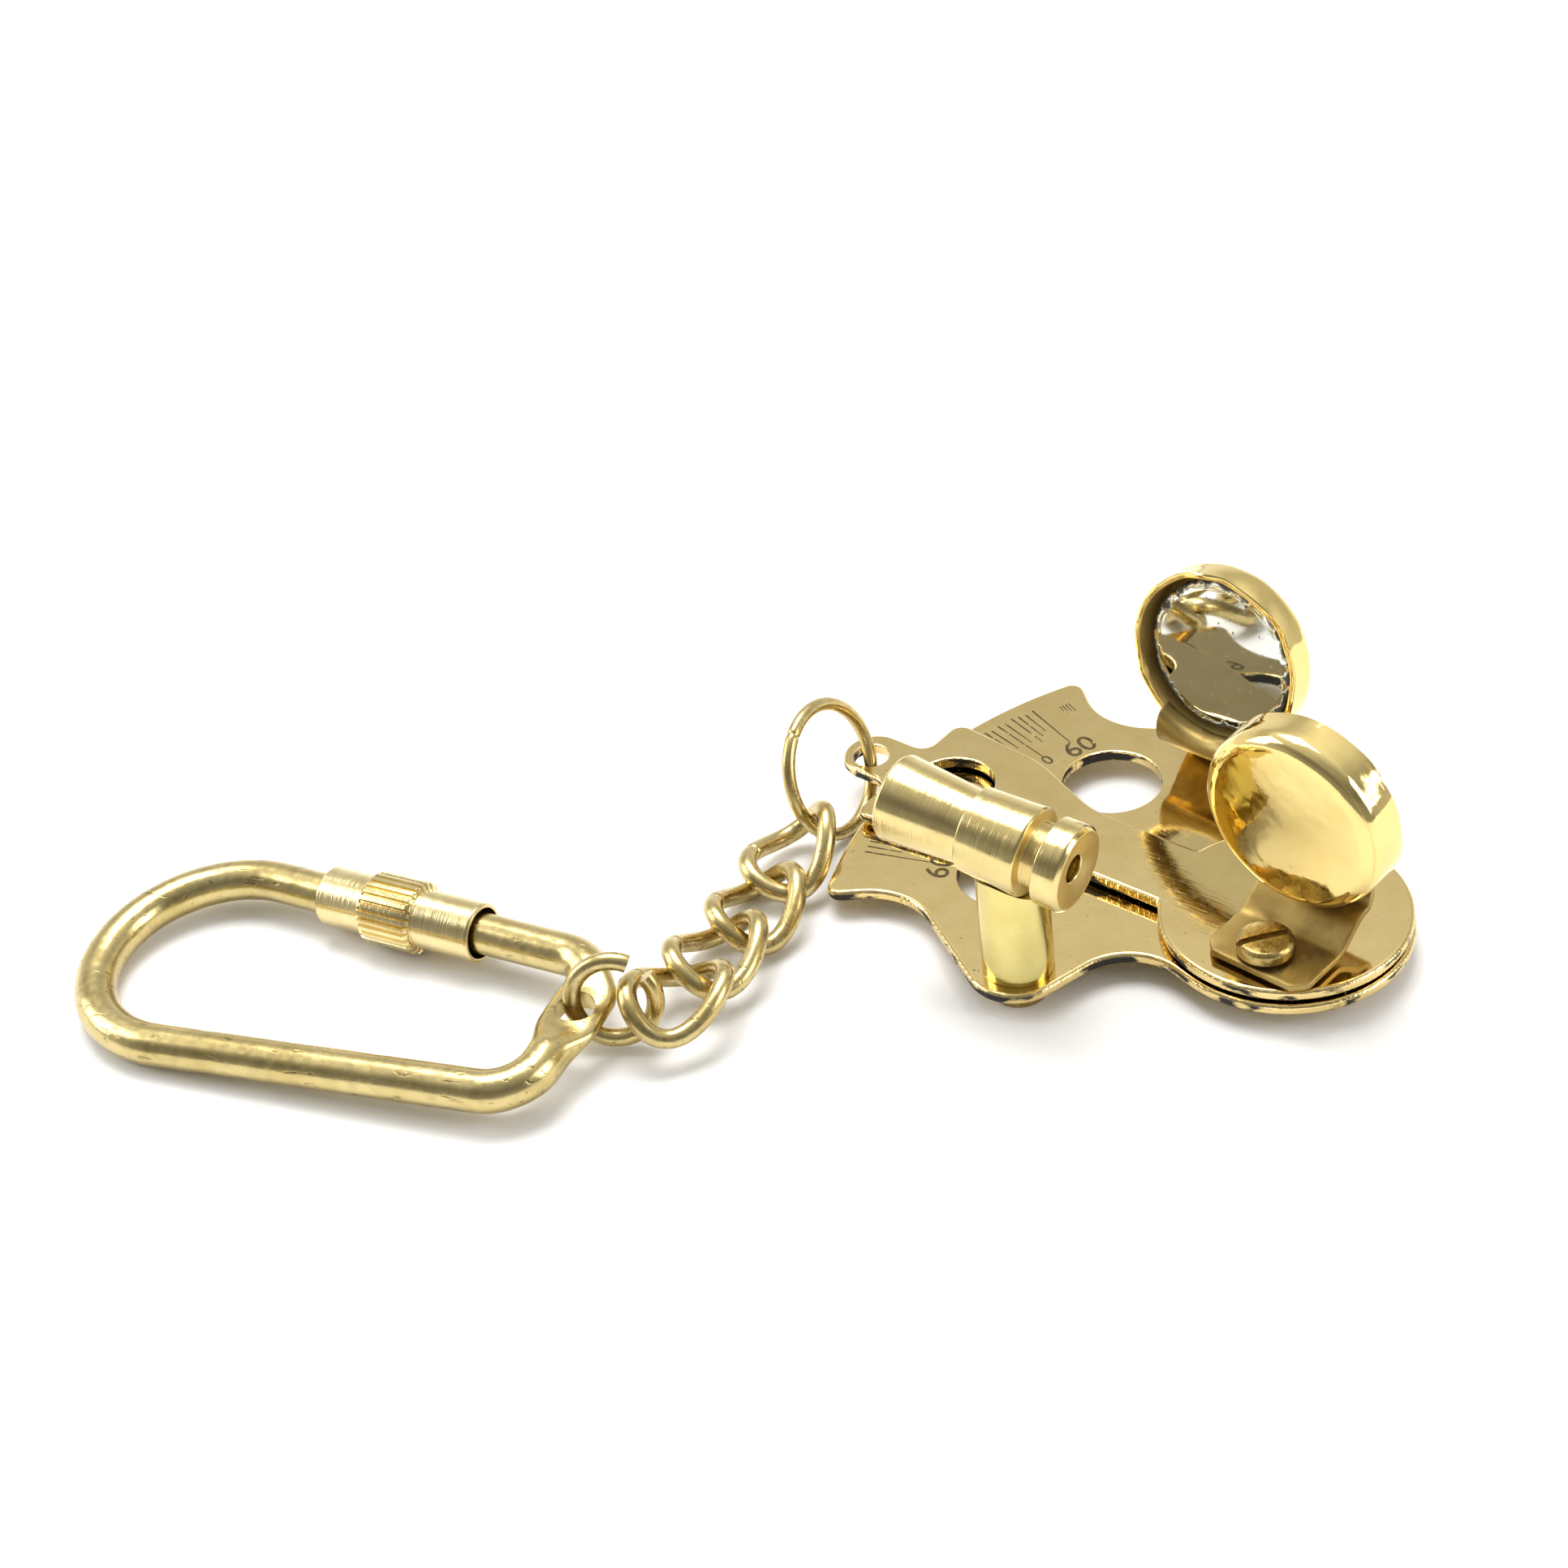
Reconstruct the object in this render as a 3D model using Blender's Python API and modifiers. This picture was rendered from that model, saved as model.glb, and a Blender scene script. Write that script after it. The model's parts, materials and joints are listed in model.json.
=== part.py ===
"""A miniature brass sextant on a short curb chain, with a key loop closed by a sliding sleeve.

Frame: metres, +Z up, the floor at z = 0. The origin is under the pivot of the index arm.
-X runs from the pivot to the limb, the arc that carries the scale. +Y is the side of the
horizon mirror and -Y the side of the telescope.
"""

import math

import bmesh
import bpy
from mathutils import Euler, Matrix, Vector

MM = 0.001
GAP = 0.3 * MM
CHORD_ERROR = 0.012 * MM
MERGE = 0.00001
OBJECT_NAME = "keychain_sextant"

# Stack of sheets and heads, from the floor up
HEAD_HEIGHT = 1.2 * MM
FRAME_BOTTOM = HEAD_HEIGHT + GAP
SHEET = 1.0 * MM
FRAME_TOP = FRAME_BOTTOM + SHEET
ARM_BOTTOM = FRAME_TOP + GAP
ARM_TOP = ARM_BOTTOM + SHEET

# Sector frame
LIMB_RADIUS = 36.5 * MM
PIVOT_HOLE_RADIUS = 2.0 * MM
POST_X = -14.0 * MM
POST_Y = -15.5 * MM
HORIZON_SCREW_X = -14.2 * MM
HORIZON_SCREW_Y = 17.0 * MM
SCREW_HOLE_RADIUS = 1.2 * MM
WINDOW_RADIUS = 4.15 * MM
WINDOW_X = -21.3 * MM
WINDOW_Y = 7.1 * MM

# Index arm, in its own plan frame: the pivot is the origin and the blade lies along -X
ARM_TURN = math.radians(1.1)
BLADE_OFFSET = -1.1 * MM
TAB_HALF_WIDTH = 2.65 * MM
TAB_HOLE = (-39.5 * MM, -1.5 * MM)
TAB_HOLE_RADIUS = 1.5 * MM
ARM_WINDOW = (-31.2 * MM, -1.0 * MM)
ARM_WINDOW_RADIUS = 3.5 * MM
INDEX_SCREW_X = 2.1 * MM
INDEX_SCREW_Y = -6.0 * MM

# Mirrors
CUP_RADIUS = 7.6 * MM
CUP_DEPTH = 3.8 * MM
CUP_WALL = 0.5 * MM
CUP_EDGE = 0.8 * MM
FOOT_WIDTH = 9.0 * MM
FOOT_SHEET = 0.6 * MM
GLASS_RADIUS = 6.5 * MM
GLASS_THICKNESS = 1.5 * MM
SCREW_HEAD_RADIUS = 2.2 * MM
SCREW_SHANK_RADIUS = 0.9 * MM
SLOT_WIDTH = 0.6 * MM
SLOT_DEPTH = 0.5 * MM

# Telescope
TELESCOPE_HEIGHT = 14.5 * MM
TELESCOPE_TURN = math.radians(6.4)
TELESCOPE_DIP = math.radians(5.2)
TELESCOPE_BACK = 10.0 * MM
TELESCOPE_BORE = 1.35 * MM
COLLAR_RADIUS = 3.56 * MM
POST_RADIUS = 2.8 * MM
POST_BORE = 1.3 * MM

# Key loop, in its own plan frame, which is then tilted and turned into place
ROD_RADIUS = 1.7 * MM
LOOP_ORIGIN = Vector((-65.26, -60.3, 1.85)) * MM
LOOP_TURN = math.radians(20.7)
LOOP_PITCH = math.radians(2.0)
LOOP_TILT = math.radians(2.5)
LOOP_LEFT = ((0.0, 9.8 * MM), 9.8 * MM)
LOOP_NEAR = ((28.3 * MM, 4.5 * MM), 4.0 * MM)
LOOP_FAR = ((28.6 * MM, 11.6 * MM), 4.2 * MM)
PAD_CENTRE = (32.8 * MM, 9.6 * MM)
PAD_WIDTH = 5.2 * MM
PAD_THICKNESS = 1.8 * MM
PAD_HOLE_RADIUS = 1.7 * MM

# Sleeve, measured along the loop's far side from the end of the left bend
SLEEVE_START = 5.1 * MM
SLEEVE_ENDS = (4.4 * MM, 5.1 * MM, 5.6 * MM)
SLEEVE_RADII = (2.5 * MM, 3.0 * MM, 2.45 * MM)
SLEEVE_BORES = (2.0 * MM, 2.1 * MM)
KNURL_TEETH = 28
KNURL_DEPTH = 0.3 * MM
ROD_INSIDE_SLEEVE = 1.5 * MM
ROD_GAP = 4.8 * MM

# Chain: each link is a flattened ring whose two long sides twist apart
LINK_WIRE = 0.7 * MM
LINK_HALF_LENGTH = 4.3 * MM
LINK_HALF_WIDTH = 3.2 * MM
LINK_TWIST = -1.2 * MM
LINKS = (
    ("chain_link_1", (-37.67, -14.77, 2.78), (-14, -10, 102)),
    ("chain_link_2", (-35.95, -21.25, 2.22), (-2, 2, 108)),
    ("chain_link_3", (-34.48, -27.67, 2.77), (-2, 7, 105)),
    ("chain_link_4", (-32.88, -33.96, 3.64), (4, 7, 90)),
)
JUMP_RING = ((-39.39, -7.4, 5.68), (70, 3, 99))
JUMP_RING_RADIUS = 5.45 * MM
JUMP_RING_WIRE = 0.5 * MM
LOOP_RING = ((-35.98, -37.56, 4.34), (75, 3, 35))
LOOP_RING_RADIUS = 3.28 * MM
LOOP_RING_WIRE = 0.62 * MM


# ---------------------------------------------------------------- scene and objects

def clear_scene():
    for obj in list(bpy.data.objects):
        bpy.data.objects.remove(obj, do_unlink=True)
    for group in list(bpy.data.collections):
        bpy.data.collections.remove(group)


def new_collection(name):
    group = bpy.data.collections.new(name)
    bpy.context.scene.collection.children.link(group)
    return group


def metal(name, colour, roughness):
    mat = bpy.data.materials.new(name)
    mat.use_nodes = True
    shader = mat.node_tree.nodes["Principled BSDF"]
    shader.inputs["Base Color"].default_value = (*colour, 1.0)
    shader.inputs["Roughness"].default_value = roughness
    shader.inputs["Metallic"].default_value = 1.0
    return mat


def add_object(name, data, group, matrix=None):
    obj = bpy.data.objects.new(name, data)
    group.objects.link(obj)
    if matrix is not None:
        obj.matrix_world = matrix
    return obj


def finish_part(obj, material):
    obj.data.materials.clear()
    obj.data.materials.append(material)
    return obj


def as_cutter(obj):
    obj.hide_render = True
    obj.display_type = "WIRE"
    return obj


def to_mesh(obj):
    """Turns a curve object into a mesh object of the same name, with its caps welded on."""
    bpy.context.view_layer.update()
    depsgraph = bpy.context.evaluated_depsgraph_get()
    mesh = bpy.data.meshes.new_from_object(obj.evaluated_get(depsgraph))
    bm = bmesh.new()
    bm.from_mesh(mesh)
    bmesh.ops.remove_doubles(bm, verts=bm.verts, dist=MERGE)
    bm.to_mesh(mesh)
    bm.free()
    name = obj.name
    matrix = obj.matrix_world.copy()
    group = obj.users_collection[0]
    bpy.data.objects.remove(obj, do_unlink=True)
    return add_object(name, mesh, group, matrix)


def boolean(obj, other, operation="DIFFERENCE"):
    modifier = obj.modifiers.new(operation.title(), "BOOLEAN")
    modifier.operation = operation
    modifier.solver = "EXACT"
    modifier.object = as_cutter(other)
    return obj


def set_origin(obj, point):
    """Moves the object's origin to a world point and leaves its shape where it is."""
    local = obj.matrix_world.inverted() @ point
    obj.data.transform(Matrix.Translation(-local))
    obj.matrix_world = obj.matrix_world @ Matrix.Translation(local)
    return obj


def placed(location, turn_z=0.0):
    return Matrix.Translation(Vector(location)) @ Matrix.Rotation(turn_z, 4, "Z")


# ---------------------------------------------------------------- plan outlines

def tangent_angle(a, b):
    """Direction of the line that leaves signed circle a and touches signed circle b."""
    dx = b[0][0] - a[0][0]
    dy = b[0][1] - a[0][1]
    lean = (b[2] * b[1] - a[2] * a[1]) / math.hypot(dx, dy)
    return math.atan2(dy, dx) - math.asin(max(-1.0, min(1.0, lean)))


def arc_points(circle, start, sweep):
    (cx, cy), radius, turn = circle
    step = 2.0 * math.acos(1.0 - CHORD_ERROR / radius)
    count = max(1, math.ceil(abs(sweep) / step))
    points = []
    for i in range(count + 1):
        angle = start + sweep * i / count
        points.append((cx + turn * radius * math.sin(angle), cy - turn * radius * math.cos(angle)))
    return points


def tangent_outline(circles, closed=True):
    """Joins circles by their tangent lines. A circle is (centre, radius, turn): turn +1 is
    walked anticlockwise and -1 clockwise. In an open path the end circles have no radius."""
    count = len(circles)
    links = count if closed else count - 1
    headings = [tangent_angle(circles[i], circles[(i + 1) % count]) for i in range(links)]
    points = []
    for i, circle in enumerate(circles):
        if not closed and i in (0, count - 1):
            points.append(circle[0])
            continue
        turn = circle[2]
        before = headings[i - 1]
        sweep = (headings[i] - before) * turn % (2.0 * math.pi) * turn
        if abs(sweep) > 1.95 * math.pi:
            sweep = 0.0
        points += arc_points(circle, before, sweep)
    return without_repeats(points, closed)


def without_repeats(points, closed=True):
    kept = []
    for point in points:
        if not kept or math.dist(point, kept[-1]) > 0.02 * MM:
            kept.append(point)
    if closed and math.dist(kept[0], kept[-1]) <= 0.02 * MM:
        kept.pop()
    return kept


def circle_outline(centre, radius):
    return without_repeats(arc_points((centre, radius, 1), 0.0, 2.0 * math.pi))


def plate(name, outlines, bottom, top, group):
    """A flat sheet in plan: the first outline is its edge and the others are its holes."""
    curve = bpy.data.curves.new(name, "CURVE")
    curve.dimensions = "2D"
    curve.fill_mode = "BOTH"
    curve.extrude = (top - bottom) / 2.0
    for outline in outlines:
        spline = curve.splines.new("POLY")
        spline.points.add(len(outline) - 1)
        for point, (x, y) in zip(spline.points, outline):
            point.co = (x, y, 0.0, 1.0)
        spline.use_cyclic_u = True
    obj = add_object(name, curve, group, placed((0.0, 0.0, (top + bottom) / 2.0)))
    return to_mesh(obj)


# ---------------------------------------------------------------- turned and bent shapes

def turned(name, profile, steps, group, matrix=None, closed=False):
    """A turned shape about its own Z. The profile is (radius, height) from the top of the
    outer side down, and it comes back up the bore where the shape is hollow."""
    mesh = bpy.data.meshes.new(name)
    count = len(profile)
    edges = [(i, (i + 1) % count) for i in range(count if closed else count - 1)]
    mesh.from_pydata([(radius, 0.0, height) for radius, height in profile], edges, [])
    obj = add_object(name, mesh, group, matrix)
    screw = obj.modifiers.new("Screw", "SCREW")
    screw.axis = "Z"
    screw.steps = steps
    screw.render_steps = steps
    screw.use_merge_vertices = True
    screw.merge_threshold = MERGE
    screw.use_smooth_shade = False
    return obj


def smooth(obj, angle=40.0):
    """Shades a finished mesh smooth and keeps its hard edges."""
    bpy.context.view_layer.update()
    depsgraph = bpy.context.evaluated_depsgraph_get()
    mesh = bpy.data.meshes.new_from_object(obj.evaluated_get(depsgraph))
    obj.modifiers.clear()
    obj.data = mesh
    mesh.shade_smooth()
    mesh.set_sharp_from_angle(angle=math.radians(angle))
    return obj


def pin(name, radius, bottom, top, steps, group, matrix=None):
    profile = [(0.0, top), (radius, top), (radius, bottom), (0.0, bottom)]
    return turned(name, profile, steps, group, matrix)


def wire(name, points, radius, group, closed=True, sides=2):
    curve = bpy.data.curves.new(name, "CURVE")
    curve.dimensions = "3D"
    curve.bevel_depth = radius
    curve.bevel_resolution = sides
    curve.use_fill_caps = True
    spline = curve.splines.new("POLY")
    spline.points.add(len(points) - 1)
    for point, place in zip(spline.points, points):
        point.co = (*place, 1.0)
    spline.use_cyclic_u = closed
    spline.use_smooth = True
    return add_object(name, curve, group)


def ribbon_outline(path, thickness):
    """The outline of a strip of even thickness along an open path."""
    left = []
    right = []
    for i, (x, y) in enumerate(path):
        before = path[max(i - 1, 0)]
        after = path[min(i + 1, len(path) - 1)]
        dx = after[0] - before[0]
        dy = after[1] - before[1]
        size = math.hypot(dx, dy)
        nx = -dy / size * thickness / 2.0
        ny = dx / size * thickness / 2.0
        left.append((x + nx, y + ny))
        right.append((x - nx, y - ny))
    return right + left[::-1]


# ---------------------------------------------------------------- sextant frame and arm

def frame_outline():
    half = [
        ((-5.0 * MM, 13.9 * MM), 4.75 * MM, -1),
        ((-14.3 * MM, 15.4 * MM), 3.9 * MM, 1),
        ((-26.1 * MM, 20.0 * MM), 5.8 * MM, -1),
        ((-31.74 * MM, 15.69 * MM), 1.1 * MM, 1),
    ]
    mirrored = [((x, -y), radius, turn) for (x, y), radius, turn in half[::-1]]
    disc = ((0.0, 0.0), 9.9 * MM, 1)
    limb = ((0.0, 0.0), LIMB_RADIUS, 1)
    return tangent_outline([disc, *half, limb, *mirrored])


def frame_plate(group, material):
    holes = [
        circle_outline((0.0, 0.0), PIVOT_HOLE_RADIUS),
        circle_outline((WINDOW_X, WINDOW_Y), WINDOW_RADIUS),
        circle_outline((WINDOW_X, -WINDOW_Y), WINDOW_RADIUS),
        circle_outline((POST_X, POST_Y), POST_BORE),
        circle_outline((HORIZON_SCREW_X, HORIZON_SCREW_Y), SCREW_HOLE_RADIUS),
    ]
    obj = plate("frame_plate", [frame_outline(), *holes], FRAME_BOTTOM, FRAME_TOP, group)
    return finish_part(obj, material)


def arm_outline():
    disc_radius = 9.75 * MM
    corner = 0.4 * MM
    blade = 3.4 * MM

    def side(turn):
        corner_y = BLADE_OFFSET + turn * (blade + corner)
        corner_x = -math.sqrt((disc_radius + corner) ** 2 - corner_y ** 2)
        return [
            ((corner_x, corner_y), corner, -1),
            ((-17.8 * MM, BLADE_OFFSET + turn * 12.0 * MM), 8.55 * MM, -1),
            ((-29.4 * MM, BLADE_OFFSET - turn * 3.3 * MM), 10.0 * MM, 1),
            ((-34.8 * MM, BLADE_OFFSET + turn * 6.0 * MM), 1.2 * MM, 1),
            ((-37.2 * MM, BLADE_OFFSET + turn * (TAB_HALF_WIDTH + 1.2 * MM)), 1.2 * MM, -1),
        ]

    disc = ((0.0, 0.0), disc_radius, 1)
    tab = ((-39.45 * MM, BLADE_OFFSET), TAB_HALF_WIDTH, 1)
    return tangent_outline([disc, *side(1), tab, *side(-1)[::-1]])


def in_arm_plan(x, y):
    """A world plan point, given in the arm's own plan frame."""
    return (
        x * math.cos(ARM_TURN) + y * math.sin(ARM_TURN),
        y * math.cos(ARM_TURN) - x * math.sin(ARM_TURN),
    )


def index_arm(group, cutters, material):
    screw_hole = circle_outline(in_arm_plan(INDEX_SCREW_X, INDEX_SCREW_Y), SCREW_HOLE_RADIUS)
    holes = [
        circle_outline((0.0, 0.0), PIVOT_HOLE_RADIUS),
        circle_outline(ARM_WINDOW, ARM_WINDOW_RADIUS),
        circle_outline(TAB_HOLE, TAB_HOLE_RADIUS),
        screw_hole,
    ]
    obj = plate("index_arm", [arm_outline(), *holes], ARM_BOTTOM, ARM_TOP, group)
    obj.matrix_world = Matrix.Rotation(ARM_TURN, 4, "Z") @ obj.matrix_world
    lift = GAP * math.sqrt(2.0)
    low = ARM_TOP - 0.9 * MM
    high = ARM_TOP + 1.0 * MM
    countersink = turned(
        "arm_countersink",
        [(0.0, high), (1.7 * MM + lift + high - low, high), (1.7 * MM + lift, low), (0.0, low)],
        48,
        cutters,
    )
    boolean(obj, countersink)
    return finish_part(smooth(obj), material)


def pivot_rivet(group, material):
    """Round head below, shank through both sheets, and a flared end flush with the arm."""
    shank = 1.7 * MM
    flare = 0.8 * MM
    profile = [
        (0.0, ARM_TOP),
        (shank + flare, ARM_TOP),
        (shank, ARM_TOP - flare),
        (shank, HEAD_HEIGHT),
        (2.6 * MM, HEAD_HEIGHT),
        (2.6 * MM, 0.0),
        (0.0, 0.0),
    ]
    return finish_part(smooth(turned("pivot_rivet", profile, 40, group)), material)


# ---------------------------------------------------------------- mirrors

def cup_shell(name, group, matrix):
    """A drawn cup about Z: closed at z = 0 and open at z = CUP_DEPTH."""
    outer = CUP_RADIUS
    inner = CUP_RADIUS - CUP_WALL
    bend_in = CUP_EDGE - CUP_WALL
    profile = [(0.0, CUP_WALL)]
    for i in range(3):
        angle = math.radians(90.0 - 45.0 * i)
        radius = inner - bend_in * (1.0 - math.cos(angle))
        profile.append((radius, CUP_EDGE - bend_in * math.sin(angle)))
    profile += [(inner, CUP_DEPTH), (outer, CUP_DEPTH)]
    for i in range(5):
        angle = math.radians(22.5 * i)
        radius = outer - CUP_EDGE * (1.0 - math.cos(angle))
        profile.append((radius, CUP_EDGE * (1.0 - math.sin(angle))))
    profile.append((0.0, 0.0))
    return turned(name, profile, 56, group, matrix)


def foot_path(drop, foot_end):
    """Side view of the bent strip: out from the cup's lip, round a tight roll, then back
    and down to a flat foot. X points the way the cup opens and Y is up from the foot."""
    roll = 0.7 * MM
    roll_x = CUP_DEPTH + 0.3 * MM
    path = [(CUP_DEPTH - 0.9 * MM, drop)]
    for i in range(9):
        angle = math.radians(90.0 - 22.5 * i)
        path.append((roll_x + roll * math.cos(angle), drop - roll + roll * math.sin(angle)))
    slope_end = 0.2 * MM
    low = drop - 2.0 * roll
    for i in range(1, 9):
        t = i / 8.0
        ease = t * t * (3.0 - 2.0 * t)
        path.append((roll_x + (slope_end - roll_x) * t, low * (1.0 - ease)))
    path.append((foot_end, 0.0))
    return path


def mirror_cup(name, back, heading, rise, foot_bottom, foot_end, screw, parts, cutters, material):
    """A cup whose back face centre is at back, opening along heading and tilted up by rise,
    with its strip running under it to a flat foot that the screw goes through."""
    opening = Matrix.Rotation(heading, 4, "Z")
    tilt = opening @ Matrix.Rotation(math.pi / 2.0 - rise, 4, "Y")
    centre = Matrix.Translation(back)
    cup = cup_shell(name, parts, centre @ tilt)
    foot_centre = foot_bottom + FOOT_SHEET / 2.0
    lip = back.z - (CUP_RADIUS - CUP_WALL / 2.0) + CUP_DEPTH * math.sin(rise)
    outline = ribbon_outline(foot_path(lip - foot_centre, foot_end), FOOT_SHEET)
    strip = plate(name + "_strip", [outline], -FOOT_WIDTH / 2.0, FOOT_WIDTH / 2.0, cutters)
    upright = Matrix.Rotation(math.pi / 2.0, 4, "X")
    base = Matrix.Translation((back.x, back.y, foot_centre))
    strip.matrix_world = base @ opening @ upright
    boolean(cup, strip, "UNION")
    hole = pin(
        name + "_hole",
        SCREW_HOLE_RADIUS,
        foot_bottom - MM,
        foot_bottom + FOOT_SHEET + MM,
        32,
        cutters,
        placed((screw.x, screw.y, 0.0)),
    )
    boolean(cup, hole)
    return finish_part(smooth(cup), material)


def mirror_glass(name, back, heading, rise, group, material):
    tilt = Matrix.Rotation(heading, 4, "Z") @ Matrix.Rotation(math.pi / 2.0 - rise, 4, "Y")
    bottom = CUP_WALL + GAP
    bevel = 0.15 * MM
    top = bottom + GLASS_THICKNESS
    profile = [
        (0.0, top),
        (GLASS_RADIUS - bevel, top),
        (GLASS_RADIUS, top - bevel),
        (GLASS_RADIUS, bottom),
        (0.0, bottom),
    ]
    glass = turned(name, profile, 48, group, Matrix.Translation(back) @ tilt)
    return finish_part(smooth(glass), material)


def slotted_screw(name, centre, seat, tip, slot_turn, parts, cutters, material):
    """A cheese-head screw: its head sits at seat and its shank reaches down to tip."""
    top = seat + HEAD_HEIGHT
    edge = 0.25 * MM
    profile = [
        (0.0, top),
        (SCREW_HEAD_RADIUS - edge, top),
        (SCREW_HEAD_RADIUS, top - edge),
        (SCREW_HEAD_RADIUS, seat),
        (SCREW_SHANK_RADIUS, seat),
        (SCREW_SHANK_RADIUS, tip),
        (0.0, tip),
    ]
    screw = turned(name, profile, 40, parts, placed((centre.x, centre.y, 0.0)))
    bpy.ops.mesh.primitive_cube_add(size=1.0)
    slot = bpy.context.object
    slot.name = name + "_slot"
    for group in list(slot.users_collection):
        group.objects.unlink(slot)
    cutters.objects.link(slot)
    slot.data.transform(Matrix.Diagonal((6.0 * MM, SLOT_WIDTH, 2.0 * SLOT_DEPTH, 1.0)))
    slot.matrix_world = placed((centre.x, centre.y, top), slot_turn)
    boolean(screw, slot)
    return finish_part(smooth(screw), material)


def hex_nut(group, material):
    """The nut under the frame, whose flat underside is one of the three feet."""
    half_across = 2.2 * MM
    reach = half_across / math.cos(math.radians(30.0))
    hexagon = []
    for i in range(6):
        angle = math.radians(60.0 * i + 30.0)
        x = HORIZON_SCREW_X + reach * math.cos(angle)
        y = HORIZON_SCREW_Y + reach * math.sin(angle)
        hexagon.append((x, y))
    hole = circle_outline((HORIZON_SCREW_X, HORIZON_SCREW_Y), SCREW_HOLE_RADIUS)
    nut = plate("horizon_mirror_nut", [hexagon, hole], 0.0, HEAD_HEIGHT, group)
    return finish_part(nut, material)


# ---------------------------------------------------------------- telescope

def telescope_matrix():
    """Takes Z along the telescope, from its objective end, into place."""
    turn = Matrix.Rotation(TELESCOPE_TURN, 4, "Z")
    lay = Matrix.Rotation(math.pi / 2.0 + TELESCOPE_DIP, 4, "Y")
    over_post = Matrix.Translation((POST_X, POST_Y, TELESCOPE_HEIGHT))
    return over_post @ turn @ lay @ Matrix.Translation((0.0, 0.0, -TELESCOPE_BACK))


def telescope(parts, cutters, material):
    """One turned piece, listed from the eyepiece flange back to the objective end and then
    along the bore: a dished flange, a neck, a collar and a barrel that widens outwards."""
    neck = 2.6 * MM
    end = 15.9 * MM
    profile = [
        (3.1 * MM, end),
        (3.45 * MM, end - 0.35 * MM),
        (3.45 * MM, 13.7 * MM),
        (neck, 13.5 * MM),
        (neck, 12.3 * MM),
        (COLLAR_RADIUS - 0.1 * MM, 12.2 * MM),
        (COLLAR_RADIUS, 12.0 * MM),
        (3.34 * MM, 7.1 * MM),
        (2.93 * MM, 7.0 * MM),
        (COLLAR_RADIUS - 0.12 * MM, 0.25 * MM),
        (COLLAR_RADIUS - 0.3 * MM, 0.0),
        (neck, 0.0),
        (neck, 1.2 * MM),
        (TELESCOPE_BORE, 1.8 * MM),
        (TELESCOPE_BORE, end - 1.0 * MM),
    ]
    obj = turned("telescope", profile, 44, parts, telescope_matrix(), closed=True)
    tapped = pin(
        "telescope_tapped_hole",
        POST_BORE,
        TELESCOPE_HEIGHT - 6.0 * MM,
        TELESCOPE_HEIGHT - 2.1 * MM,
        28,
        cutters,
        placed((POST_X, POST_Y, 0.0)),
    )
    boolean(obj, tapped)
    return finish_part(smooth(obj), material)


def telescope_post(parts, cutters, material):
    top = TELESCOPE_HEIGHT - 2.0 * MM
    bottom = ARM_BOTTOM
    profile = [(POST_RADIUS, top), (POST_RADIUS, bottom), (POST_BORE, bottom), (POST_BORE, top)]
    obj = turned("telescope_post", profile, 36, parts, placed((POST_X, POST_Y, 0.0)), closed=True)
    saddle = COLLAR_RADIUS + GAP
    tube = pin("post_saddle", saddle, -5.0 * MM, 25.0 * MM, 44, cutters, telescope_matrix())
    boolean(obj, tube)
    return finish_part(smooth(obj), material)


def telescope_screw(group, material):
    shank = 1.0 * MM
    head = 2.3 * MM
    top = TELESCOPE_HEIGHT - 2.5 * MM
    profile = [
        (0.0, top),
        (shank, top),
        (shank, HEAD_HEIGHT),
        (head, HEAD_HEIGHT),
        (head, 0.0),
        (0.0, 0.0),
    ]
    screw = turned("telescope_screw", profile, 32, group, placed((POST_X, POST_Y, 0.0)))
    return finish_part(smooth(screw), material)


# ---------------------------------------------------------------- chain and key loop

def placement(centre, angles):
    turn = Euler([math.radians(a) for a in angles], "XYZ").to_matrix().to_4x4()
    return Matrix.Translation(Vector(centre) * MM) @ turn


def ring_points(radius, matrix, count, start=0.0, sweep=2.0 * math.pi):
    points = []
    for i in range(count):
        angle = start + sweep * i / count
        points.append(matrix @ Vector((radius * math.cos(angle), radius * math.sin(angle), 0.0)))
    return points


def link_points(matrix, count=32):
    points = []
    for i in range(count):
        angle = 2.0 * math.pi * i / count
        x = LINK_HALF_LENGTH * math.cos(angle)
        y = LINK_HALF_WIDTH * math.sin(angle)
        points.append(matrix @ Vector((x, y, LINK_TWIST * math.sin(2.0 * angle))))
    return points


def closest_pair(first, second):
    """The midpoint between the nearest points of two wires."""
    pairs = ((a, b) for a in first for b in second)
    a, b = min(pairs, key=lambda pair: (pair[0] - pair[1]).length)
    return (a + b) / 2.0


def chain(group, brass):
    """The jump ring, the four links and the open ring. Each turns about a vertical line
    through the point where it meets the piece before it."""
    tab = Matrix.Rotation(ARM_TURN, 4, "Z") @ Vector((*TAB_HOLE, ARM_TOP))
    jump = ring_points(JUMP_RING_RADIUS, placement(*JUMP_RING), 40)
    pieces = [("jump_ring", jump, JUMP_RING_WIRE, True)]
    for name, centre, angles in LINKS:
        pieces.append((name, link_points(placement(centre, angles)), LINK_WIRE, True))
    gap_start = math.radians(68.0)
    gap_sweep = math.radians(332.0)
    ring = ring_points(LOOP_RING_RADIUS, placement(*LOOP_RING), 34, gap_start, gap_sweep)
    pieces.append(("loop_ring", ring, LOOP_RING_WIRE, False))
    hinge = min(jump, key=lambda point: (point - tab).length)
    before = None
    for name, points, radius, closed in pieces:
        if before is not None:
            hinge = closest_pair(before, points)
        obj = to_mesh(wire(name, points, radius, group, closed))
        set_origin(obj, hinge)
        finish_part(smooth(obj, 60.0), brass)
        before = points


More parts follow.
